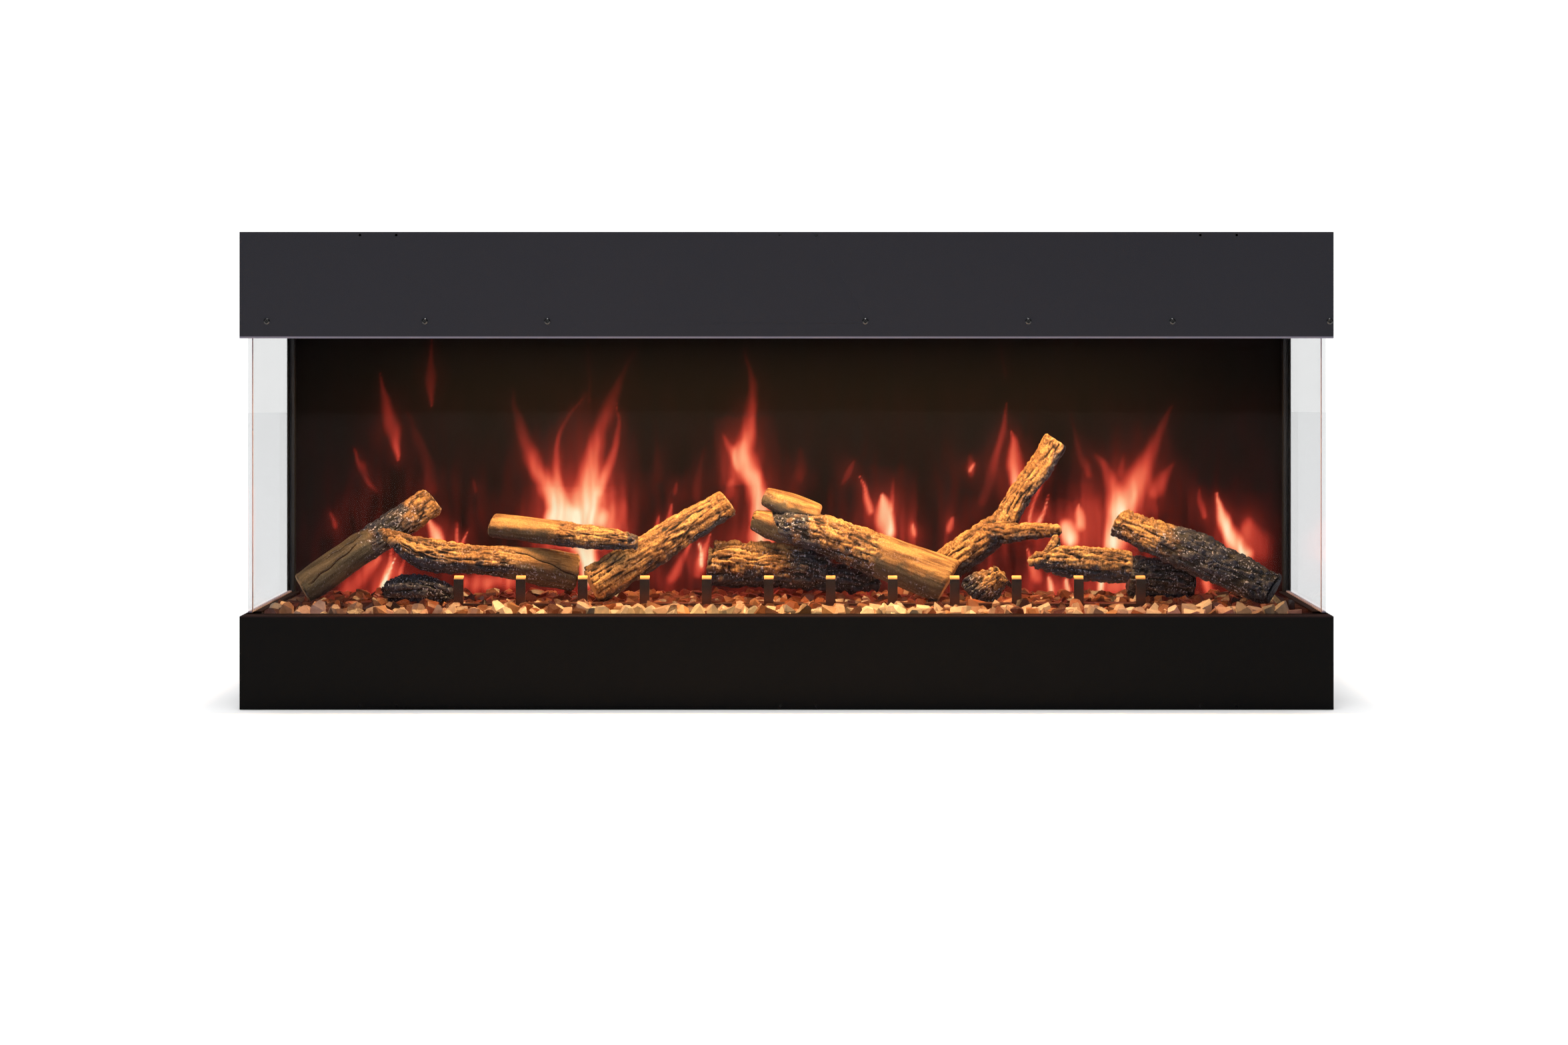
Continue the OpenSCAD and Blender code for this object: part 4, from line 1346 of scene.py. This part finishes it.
    def crushed_layer(self) -> bpy.types.Object:
        """Models the crushed layer that fills the tray under the chips."""
        size = (Vector(self.high) - Vector(self.low)) * MM
        middle = (Vector(self.high) + Vector(self.low)) / 2 * MM
        clear_selection()
        middle_z = self.layer_middle * MM
        bpy.ops.mesh.primitive_cube_add(size=1.0, location=(*middle, middle_z))
        piece = named("crushed_stone_layer")
        bpy.ops.transform.resize(value=(*size, self.layer_thickness * MM))
        bpy.ops.object.transform_apply(location=True, rotation=True, scale=True)
        with editing(piece):
            pick(Kind.EDGES, lambda e: abs(e.verts[0].co.x - e.verts[1].co.x) > 1.0)
            bpy.ops.mesh.subdivide(number_cuts=199)
            pick(Kind.EDGES, lambda e: abs(e.verts[0].co.y - e.verts[1].co.y) > 0.1)
            bpy.ops.mesh.subdivide(number_cuts=31)
        points = points_of(piece)
        top = np.array([
            noise.noise(Vector(p) * 140.0) * 1.6 + noise.noise(Vector(p) * 60.0) for p in points
        ])
        points[:, 2] += np.where(points[:, 2] > middle_z, top * 1.2 * MM, 0.0)
        piece.data.vertices.foreach_set("co", points.ravel())
        tint = np.array((0.1, 0.045, 0.03))[None, :] * (1.0 + top[:, None] * 0.4)
        # Painted light on the crushed layer, a tenth of that on the chips
        glow = np.array([self.painted_glow_at(*(p[:2] / MM)) for p in points]) * 0.1
        opaque = np.ones((len(points), 1))
        write_data(piece, "stone_colour", np.hstack([np.clip(tint, 0.02, 1.0), opaque]))
        write_data(piece, "stone_glow", np.hstack([glow, opaque]))
        return piece

    def build(self) -> None:
        """Builds the layer and the chips on it."""
        settle(self.crushed_layer(), StoneFinish(), "fire_stones", "media_bed")
        settle(self.scatter(), StoneFinish(), "fire_stones", "media_bed")


@dataclass(frozen=True)
class Tongue:
    """One lick of flame from its foot to its tip, in millimetres across and up.

    It is widest at the share named belly, and bows to one side between its ends.
    """

    foot: tuple[float, float]
    tip: tuple[float, float]
    wide: float
    heat: float
    tip_heat: float
    bow: float = 0.0
    belly: float = 0.12
    root: float = 0.85
    point: float = 0.14

    def run(self) -> np.ndarray:
        """Returns the lick as close, even steps of place across, place up, half-width and heat."""
        rise = np.subtract(self.tip, self.foot)
        along = np.linspace(0.0, 1.0, max(9, int(np.hypot(*rise) / 4.0)))
        below = np.clip(along / self.belly, 0.0, 1.0) ** 0.7
        above = np.clip((along - self.belly) / (1.0 - self.belly), 0.0, 1.0) ** 1.25
        swell = (self.root + (1.0 - self.root) * below) * (1.0 - (1.0 - self.point) * above)
        return np.stack([
            self.foot[0] + rise[0] * along + self.bow * np.sin(math.pi * along),
            self.foot[1] + rise[1] * along,
            self.wide * swell,
            self.heat + (self.tip_heat - self.heat) * along,
        ], axis=1)


@dataclass
class FlameScreen:
    """The smoked screen, with the flame picture painted on it as light."""

    columns: int = 620
    rows: int = 150

    # Soft red haze behind the licks, by height and across, and how the picture pales upwards
    HAZE_UP: ClassVar = ((98, 140, 185, 240, 300, 420), (0.36, 0.33, 0.28, 0.19, 0.115, 0.02))
    HAZE_ACROSS: ClassVar = (
        (-690, -600, -300, 0, 300, 500, 650, 690), (0.2, 0.85, 0.95, 0.9, 1.05, 1.05, 0.8, 0.2)
    )
    FADE_UP: ClassVar = ((98, 230, 300, 470), (1.0, 0.97, 0.84, 0.62))

    TONGUES: ClassVar[tuple[Tongue, ...]] = (
        Tongue((-544, 302), (-572, 420), 12, 0.62, 0.3, belly=0.35, root=0.15),
        Tongue((-498, 376), (-501, 470), 8, 0.42, 0.2, belly=0.45, root=0.2),
        Tongue((-577, 258), (-612, 318), 7, 0.28, 0.4, belly=0.55, root=0.3),
        Tongue((-500, 262), (-534, 370), 11, 0.28, 0.1, 4),
        Tongue((-310, 215), (-388, 400), 17, 1.0, 0.06, -10),
        Tongue((-308, 232), (-286, 392), 9, 0.7, 0.18, -28),
        Tongue((-286, 228), (-215, 450), 20, 1.0, 0.06, -14),
        Tongue((-268, 256), (-241, 382), 8, 0.62, 0.34, 12),
        Tongue((-330, 221), (-265, 219), 16, 1.0, 0.95, point=0.8),
        Tongue((-279, 385), (-280, 470), 4, 0.11, 0.07),
        Tongue((-180, 278), (-190, 360), 8, 0.11, 0.07),
        Tongue((-282, 142), (-287, 208), 19, 0.95, 1.0, point=0.9),
        Tongue((-280, 250), (-288, 388), 29, 0.32, 0.06, point=0.4),
        Tongue((-236, 205), (-236, 228), 22, 0.28, 0.28, point=0.8),
        Tongue((-450, 130), (-386, 132), 12, 0.45, 0.42, point=0.8),
        Tongue((-36, 186), (-66, 310), 20, 0.85, 0.9, 8, point=0.75),
        Tongue((-66, 305), (-60, 455), 14, 0.85, 0.12, 10),
        Tongue((-70, 294), (-91, 338), 10, 0.74, 0.4),
        Tongue((-85, 250), (-81, 270), 7, 0.33, 0.33, point=0.8),
        Tongue((-129, 142), (-108, 198), 8, 0.42, 0.52),
        Tongue((-164, 137), (-132, 196), 9, 0.4, 0.44),
        Tongue((-122, 156), (-123, 184), 3, 0.85, 0.8, point=0.6),
        Tongue((-129, 250), (-119, 320), 7, 0.24, 0.15),
        Tongue((-490, 186), (-507, 230), 11, 0.9, 0.62),
        Tongue((-464, 186), (-466, 216), 4, 0.6, 0.5),
        Tongue((-456, 184), (-446, 208), 3, 0.56, 0.58),
        Tongue((-568, 117), (-555, 186), 8, 0.85, 0.45, 5),
        Tongue((-620, 115), (-572, 166), 15, 0.42, 0.48, point=0.4),
        Tongue((-571, 120), (-548, 172), 4, 1.0, 0.88, 3),
        Tongue((-539, 142), (-535, 170), 5, 0.44, 0.4),
        Tongue((-634, 212), (-640, 225), 6, 0.34, 0.3, point=0.6),
        Tongue((-437, 258), (-440, 272), 3, 0.26, 0.26, point=0.6),
        Tongue((-158, 256), (-156, 268), 5, 0.3, 0.3, point=0.7),
        Tongue((-165, 214), (-163, 236), 6, 0.46, 0.5, point=0.5),
        Tongue((-185, 206), (-180, 228), 5, 0.4, 0.4),
        Tongue((17, 278), (16, 314), 9, 0.22, 0.15, point=0.6),
        Tongue((77, 269), (95, 302), 5, 0.3, 0.3, root=0.4, belly=0.4),
        Tongue((111, 230), (97, 276), 7, 0.66, 0.54),
        Tongue((137, 203), (127, 252), 16, 0.95, 0.88, belly=0.4),
        Tongue((142, 234), (145, 284), 5, 0.42, 0.2),
        Tongue((253, 286), (252, 306), 8, 0.34, 0.28, point=0.5),
        Tongue((251, 286), (257, 294), 3, 0.75, 0.7, point=0.8),
        Tongue((300, 420), (297, 470), 4, 0.12, 0.08),
        Tongue((269, 243), (303, 378), 8, 0.2, 0.5, 5, belly=0.7),
        Tongue((319, 271), (311, 342), 13, 0.92, 0.52, 2, belly=0.3),
        Tongue((332, 200), (371, 297), 4, 0.46, 0.52, -9, root=0.6, belly=0.8),
        Tongue((342, 202), (361, 251), 5, 0.72, 0.74, 4),
        Tongue((406, 212), (406, 240), 10, 0.8, 0.62, belly=0.4),
        Tongue((393, 190), (386, 207), 14, 0.95, 0.85, point=0.8),
        Tongue((419, 283), (392, 368), 7, 0.27, 0.1, -3),
        Tongue((453, 188), (428, 309), 22, 0.95, 0.3, 16, belly=0.3),
        Tongue((464, 230), (533, 374), 21, 0.86, 0.18, 2),
        Tongue((512, 259), (536, 298), 12, 0.38, 0.3),
        Tongue((464, 283), (468, 310), 6, 0.27, 0.2),
        Tongue((579, 223), (572, 264), 5, 0.34, 0.32, belly=0.4),
        Tongue((636, 170), (599, 256), 15, 0.95, 0.8, -9),
        Tongue((585, 118), (581, 134), 9, 0.5, 0.6, point=0.7),
        Tongue((347, 137), (331, 181), 9, 0.5, 0.6),
        Tongue((367, 118), (359, 140), 7, 0.8, 0.7),
        Tongue((390, 120), (388, 133), 5, 0.9, 0.9, point=0.6),
        Tongue((435, 115), (437, 134), 7, 0.8, 0.95, point=0.6),
        Tongue((454, 128), (484, 121), 14, 0.5, 0.4, point=0.8),
        Tongue((225, 205), (231, 223), 6, 0.5, 0.55),
        Tongue((178, 196), (175, 216), 4, 0.45, 0.5),
        Tongue((338, 215), (307, 252), 19, 0.28, 0.24, point=0.5),
        Tongue((663, 176), (643, 208), 19, 0.24, 0.3, point=0.6),
    )
    # The light's colour at each heat
    HEAT: ClassVar = (
        (0.0, (0.0, 0.0, 0.0)), (0.08, (0.01, 0.0008, 0.0006)), (0.18, (0.045, 0.003, 0.002)),
        (0.3, (0.12, 0.008, 0.005)), (0.42, (0.3, 0.02, 0.012)), (0.55, (0.6, 0.055, 0.03)),
        (0.68, (0.92, 0.16, 0.08)), (0.8, (1.0, 0.34, 0.17)), (0.9, (1.0, 0.58, 0.32)),
        (1.0, (1.0, 0.88, 0.6)),
    )

    def sheet(self) -> bpy.types.Object:
        """Models the screen: a fine front face, drawn out to its thickness.

        Returns:
            The closed sheet, in its place.
        """
        low, high = (Vector(corner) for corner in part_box("flame_screen"))
        middle = (low + high) / 2
        clear_selection()
        bpy.ops.mesh.primitive_grid_add(
            x_subdivisions=self.columns, y_subdivisions=self.rows, size=1.0,
            location=(middle.x, low.y, middle.z), rotation=(math.pi / 2, 0.0, 0.0),
        )
        piece = named("lit_flame_screen")
        piece.scale = (high.x - low.x, high.z - low.z, 1.0)
        bpy.ops.object.transform_apply(location=True, rotation=True, scale=True)
        with editing(piece):
            pick(Kind.EDGES, lambda e: e.is_boundary)
            bpy.ops.mesh.extrude_region_move(
                TRANSFORM_OT_translate={"value": (0.0, high.y - low.y, 0.0)}
            )
            bpy.ops.mesh.edge_face_add()
            bpy.ops.mesh.select_all(action="SELECT")
            bpy.ops.mesh.normals_make_consistent(inside=False)
        return piece

    def heat(self, x: np.ndarray, z: np.ndarray) -> np.ndarray:
        """Returns the flame's heat at each place.

        Args:
            x: places across, in millimetres.
            z: places up, in millimetres.

        Returns:
            Heat from 0 to 1.
        """
        sway = np.array([
            (noise.noise(Vector((a / 30.0, 3.1, b / 55.0))), noise.noise(Vector((a / 12.0, 9.7, b / 24.0))))
            for a, b in zip(x, z)
        ])
        wx = x + sway[:, 0] * 5.0 + sway[:, 1] * 2.2
        wz = z + sway[:, 1] * 4.0
        cold = np.ones(len(x))
        for tongue in self.TONGUES:
            run = tongue.run()
            reach = run[:, 2].max() * 2.2 + 8.0
            near = np.flatnonzero(
                (wx > run[:, 0].min() - reach) & (wx < run[:, 0].max() + reach)
                & (wz > run[:, 1].min() - reach) & (wz < run[:, 1].max() + reach)
            )
            best = np.zeros(len(near))
            for px, pz, half, strength in run:
                apart = np.hypot((wx[near] - px), (wz[near] - pz) * 0.8) / half
                body = 1.0 - ramp(apart, 0.1, 1.6)
                halo = 0.3 * np.exp(-((apart / 2.6) ** 2))
                best = np.maximum(best, strength * np.maximum(body, halo))
            cold[near] *= 1.0 - np.clip(best, 0.0, 0.995)
        streak = np.array([noise.noise(Vector((a / 9.0, 5.0, b / 60.0))) for a, b in zip(wx, wz)])
        haze = np.interp(z, *self.HAZE_UP) * np.interp(x, *self.HAZE_ACROSS)
        haze *= 0.72 + sway[:, 0] * 0.55 + streak * 0.25
        hot = 1.0 - cold * (1.0 - np.clip(haze, 0.0, 0.6))
        return np.clip(hot * (1.0 + streak * 0.16) * np.interp(z, *self.FADE_UP), 0.0, 1.0)

    def build(self) -> None:
        """Builds the screen and paints the picture's light on its front face."""
        piece = self.sheet()
        points = points_of(piece) / MM
        heat = self.heat(points[:, 0], points[:, 2])
        front = points[:, 1] < points[:, 1].min() + 0.5
        stops = [stop[0] for stop in self.HEAT]
        bands = [np.interp(heat, stops, [stop[1][band] for stop in self.HEAT]) for band in range(3)]
        light = np.stack([*bands, np.ones(len(heat))], axis=1)
        light[:, :3] *= front[:, None]
        write_data(piece, "flame_light", light)
        settle(piece, FlameFinish(), "smoked_screen", "flame_screen")
        piece.data.materials[0].cycles.emission_sampling = "NONE"


# --------------------------------------------------------------- casing and machinery


class Casing:
    """The CAD's own pieces: each keeps its shape and gets its finish."""

    # Heights of the painted highlights on the folds and the post tips, of the diode caps and of the
    # board are the CAD's, in metres
    HEAD = PowderCoat("head_black", shade(0.03, 0.03, 0.038), specular=0.14, fold_highlight=(0.4738, 0.4762))
    BASE = PowderCoat(
        "fascia_black", shade(0.006, 0.006, 0.0062), specular=0.03, fold_highlight=(0.1176, 0.1194),
        fold_highlight_colour=shade(0.015, 0.01, 0.011),
    )
    FRAME = PowderCoat("frame_black", shade(0.011, 0.011, 0.013), roughness=0.45, specular=0.3)
    SCREW = PowderCoat("screw_black", shade(0.008, 0.008, 0.009), 1600.0, 0.25, 0.7)
    ZINC = Steel("galvanised", shade(0.52, 0.54, 0.56), 0.36, flakes=1.0, lines=0.4)
    SHEET = Steel("bright_sheet", shade(0.68, 0.69, 0.71), 0.24)
    BRIGHT = Steel("bright_steel", shade(0.6, 0.6, 0.62), 0.2)
    FOIL = Steel("mirror_foil", shade(0.86, 0.87, 0.9), 0.08, lines=0.3)
    BUSH = Steel("bearing_bronze", shade(0.55, 0.34, 0.14), 0.3)
    STACK = Steel("motor_laminate", shade(0.36, 0.33, 0.29), 0.42, lines=2.0)
    FRONT = Pane("clear_glass_front", shade(0.985, 0.985, 0.985), 0.06)
    GLASS = Pane("clear_glass", shade(0.985, 0.99, 0.99), 0.3)
    CLEAR = Pane("clear_acrylic", shade(0.93, 0.94, 0.95), 0.6)
    BEAD = Moulded("corner_bead", shade(0.42, 0.38, 0.48), 0.3, specular=0.6)
    RUBBER = Moulded("black_rubber", shade(0.012, 0.012, 0.013), 0.62, 1500.0, 0.35)
    PLASTIC = Moulded("black_plastic", shade(0.018, 0.018, 0.02), 0.42)
    RED = Moulded("red_plastic", shade(0.5, 0.02, 0.015), 0.28)
    GREY = Moulded("grey_plastic", shade(0.5, 0.5, 0.52), 0.35)
    CERAMIC = Moulded("heater_ceramic", shade(0.62, 0.5, 0.36), 0.6, 500.0)
    SLEEVE = Moulded("wire_sleeve", shade(0.02, 0.02, 0.024), 0.38, 1200.0)
    OPAL = Lens("frosted_lens", shade(0.9, 0.86, 0.78), shade(1.0, 0.7, 0.36), 1.4)
    PAINT = shade(0.78, 0.78, 0.76)
    AMBER_CAP = shade(0.9, 0.62, 0.12)
    RED_CAP = shade(0.8, 0.14, 0.08)
    CANOPY = LitBoard("light_board_canopy", PAINT, AMBER_CAP, 0.4938, 0.4954)
    EMBER = LitBoard("light_board_ember", PAINT, AMBER_CAP, 0.07, 0.0716)
    FLAME = LitBoard("light_board_flame", PAINT, RED_CAP, 0.046, 0.0476)
    CIRCUIT = CircuitBoard("circuit_green", 0.4893, 0.4912)
    BRONZE = GrateBronze("grate_bronze", 0.121, 0.1575)

    DRESS: ClassVar[dict[str, Finish]] = {
        "upper_fascia": HEAD, "top_cover": HEAD, "lower_fascia": BASE, "base_pan": ZINC,
        "back_panel": ZINC, "rear_side_left": FRAME, "rear_side_right": FRAME,
        "side_channels": FRAME, "front_glass": FRONT, "side_glass_left": GLASS,
        "side_glass_right": GLASS, "glass_seals": BEAD, "glass_track": FRAME,
        "glass_shoe": RUBBER, "outlet_grille": FRAME, "fascia_screws": SCREW,
        "firebox_ceiling": FRAME, "canopy_lens": OPAL, "canopy_light": CANOPY,
        "media_tray": CLEAR, "tray_rails": ZINC, "ember_light": EMBER, "log_grate": BRONZE,
        "flame_cutout": SHEET, "rotor_rod": BRIGHT, "rotor_blades": FOIL, "rotor_brackets": ZINC,
        "rotor_bushes": BUSH, "rotor_motor": STACK, "rotor_coupling": RUBBER, "flame_light": FLAME,
        "heater_housing": ZINC, "blower_wheel": SHEET, "blower_motor": STACK,
        "heating_element": CERAMIC, "thermal_cutout": PLASTIC, "control_board": CIRCUIT,
        "control_panel": PLASTIC, "power_rocker": RED, "heat_button": GREY, "flame_button": GREY,
        "junction_box": ZINC, "junction_cover": ZINC, "cable_gland": PLASTIC,
        "case_screws": SCREW, "wiring_harness": SLEEVE,
    }
    # Edge radii in millimetres
    ROUNDED: ClassVar[dict[str, float]] = {
        "upper_fascia": 0.45, "lower_fascia": 0.45, "side_channels": 0.3, "log_grate": 0.35,
        "power_rocker": 0.5, "control_panel": 0.5, "heat_button": 0.4, "flame_button": 0.4,
        "junction_cover": 0.3, "fascia_screws": 0.15,
    }

    def build(self) -> None:
        """Dresses every CAD piece that shows, and rounds the folded and moulded edges."""
        for name, finish in self.DRESS.items():
            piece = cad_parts[name]
            material = finish.material()
            if not piece.material_slots:
                piece.data.materials.append(material)
            for slot in piece.material_slots:
                slot.link = "OBJECT"
                slot.material = material
            if name in self.ROUNDED:
                self.round_edges(piece, self.ROUNDED[name] * MM)
            LOG.info("%s: finish %s", name, finish.name)

    def round_edges(self, piece: bpy.types.Object, radius: float) -> None:
        """Gives a piece small rounded edges that catch the light.

        Args:
            piece: the CAD object.
            radius: the edge radius in metres.
        """
        weld = piece.modifiers.new("Weld", "WELD")
        weld.merge_threshold = 1e-6
        flat = piece.modifiers.new("Flat", "DECIMATE")
        flat.decimate_type = "DISSOLVE"
        flat.angle_limit = math.radians(1.0)
        bevel = piece.modifiers.new("Bevel", "BEVEL")
        bevel.width = radius
        bevel.segments = 2
        bevel.limit_method = "ANGLE"
        bevel.angle_limit = math.radians(40.0)
        bevel.use_clamp_overlap = False


# ------------------------------------------------------------------------ studio


@dataclass
class Studio:
    """Pale floor, white surroundings, soft lamps, the fire's own light and the camera."""

    floor_reach: float = 9.0

    def build(self) -> None:
        """Builds the whole studio."""
        self.floor()
        self.surroundings()
        self.overhead()
        self.lamp("front_softbox", (-1.4, -3.4, 2.6), (0.0, -0.2, 0.4), (2.4, 1.6), 20.0,
                  (0.93, 0.95, 1.0))
        self.lamp("canopy_glow", (-0.01, -0.1, 0.4725), (-0.01, -0.1, 0.0), (1.1, 0.03), 9.6,
                  (1.0, 0.56, 0.22))
        self.lamp("flame_glow", (0.0, 0.073, 0.19), (0.0, -1.0, 0.19), (1.28, 0.15), 0.42,
                  (1.0, 0.1, 0.05))
        self.lamp("ember_glow", (0.0, -0.05, 0.125), (0.0, -0.05, 1.0), (1.2, 0.1), 0.22,
                  (1.0, 0.34, 0.12))
        self.camera()

    def overhead(self) -> None:
        """Hangs the broad even light straight above."""
        light = bpy.data.lights.new("overhead_light", "SUN")
        light.energy = 3.5
        light.angle = math.radians(18.0)
        lamp = bpy.data.objects.new("overhead_light", light)
        bpy.context.scene.collection.objects.link(lamp)
        lamp.location = (0.0, 0.0, 4.0)

    def floor(self) -> None:
        """Makes the pale floor."""
        clear_selection()
        bpy.ops.mesh.primitive_circle_add(
            vertices=96, radius=self.floor_reach, fill_type="NGON", location=(0.0, 0.0, -0.0005)
        )
        floor = named("studio_floor")
        s = Shader("studio_floor")
        tone = s.tint(shade(0.92, 0.92, 0.92), 0.98 + s.clouds(1.5) * 0.03)
        floor.data.materials.append(s.wear(s.principled(Base_Color=tone, Roughness=0.8)))

    def surroundings(self) -> None:
        """Makes the white surroundings, softer for what they light than for what is seen."""
        world = bpy.data.worlds.new("studio_white")
        bpy.context.scene.world = world
        world.use_nodes = True
        tree = world.node_tree
        tree.nodes.clear()
        out = tree.nodes.new("ShaderNodeOutputWorld")
        seen, lit = (tree.nodes.new("ShaderNodeBackground") for _ in range(2))
        seen.inputs["Color"].default_value = shade(1.0, 1.0, 1.0)
        seen.inputs["Strength"].default_value = 1.2
        lit.inputs["Color"].default_value = shade(0.95, 0.97, 1.0)
        lit.inputs["Strength"].default_value = 0.1
        path = tree.nodes.new("ShaderNodeLightPath")
        blend = tree.nodes.new("ShaderNodeMixShader")
        tree.links.new(path.outputs["Is Camera Ray"], blend.inputs[0])
        tree.links.new(lit.outputs[0], blend.inputs[1])
        tree.links.new(seen.outputs[0], blend.inputs[2])
        tree.links.new(blend.outputs[0], out.inputs["Surface"])
        bpy.context.scene.view_settings.view_transform = "Standard"

    def lamp(
        self, name: str, place: Point, target: Point, size: tuple[float, float], power: float,
        colour: Point,
    ) -> None:
        """Hangs one soft lamp that isn't seen itself.

        Args:
            name: its name.
            place: where it hangs.
            target: what it faces.
            size: its width and height.
            power: its power in watts.
            colour: its colour.
        """
        light = bpy.data.lights.new(name, "AREA")
        light.shape = "RECTANGLE"
        light.size, light.size_y = size
        light.energy = power
        light.color = colour
        lamp = bpy.data.objects.new(name, light)
        bpy.context.scene.collection.objects.link(lamp)
        lamp.location = place
        lamp.rotation_euler = (Vector(target) - Vector(place)).to_track_quat("-Z", "Y").to_euler()
        lamp.visible_camera = False

    def camera(self) -> None:
        """Sets the camera level in front of the fire, a little right of its middle."""
        data = bpy.data.cameras.new("front_camera")
        data.lens = 50.36
        data.sensor_width = 36.0
        data.shift_x = -0.0204
        data.shift_y = -0.131
        camera = bpy.data.objects.new("front_camera", data)
        bpy.context.scene.collection.objects.link(camera)
        camera.location = (0.0376, -2.9825, 0.5011)
        camera.rotation_euler = (math.pi / 2, 0.0, 0.0)
        bpy.context.scene.camera = camera


def main() -> None:
    """Builds the fireplace and its studio."""
    logging.basicConfig(level=logging.INFO, format="%(name)s: %(message)s")
    Studio().build()
    Casing().build()
    StoneBed().build()
    LogSet().build()
    FlameScreen().build()


if __name__ == "__main__":
    main()
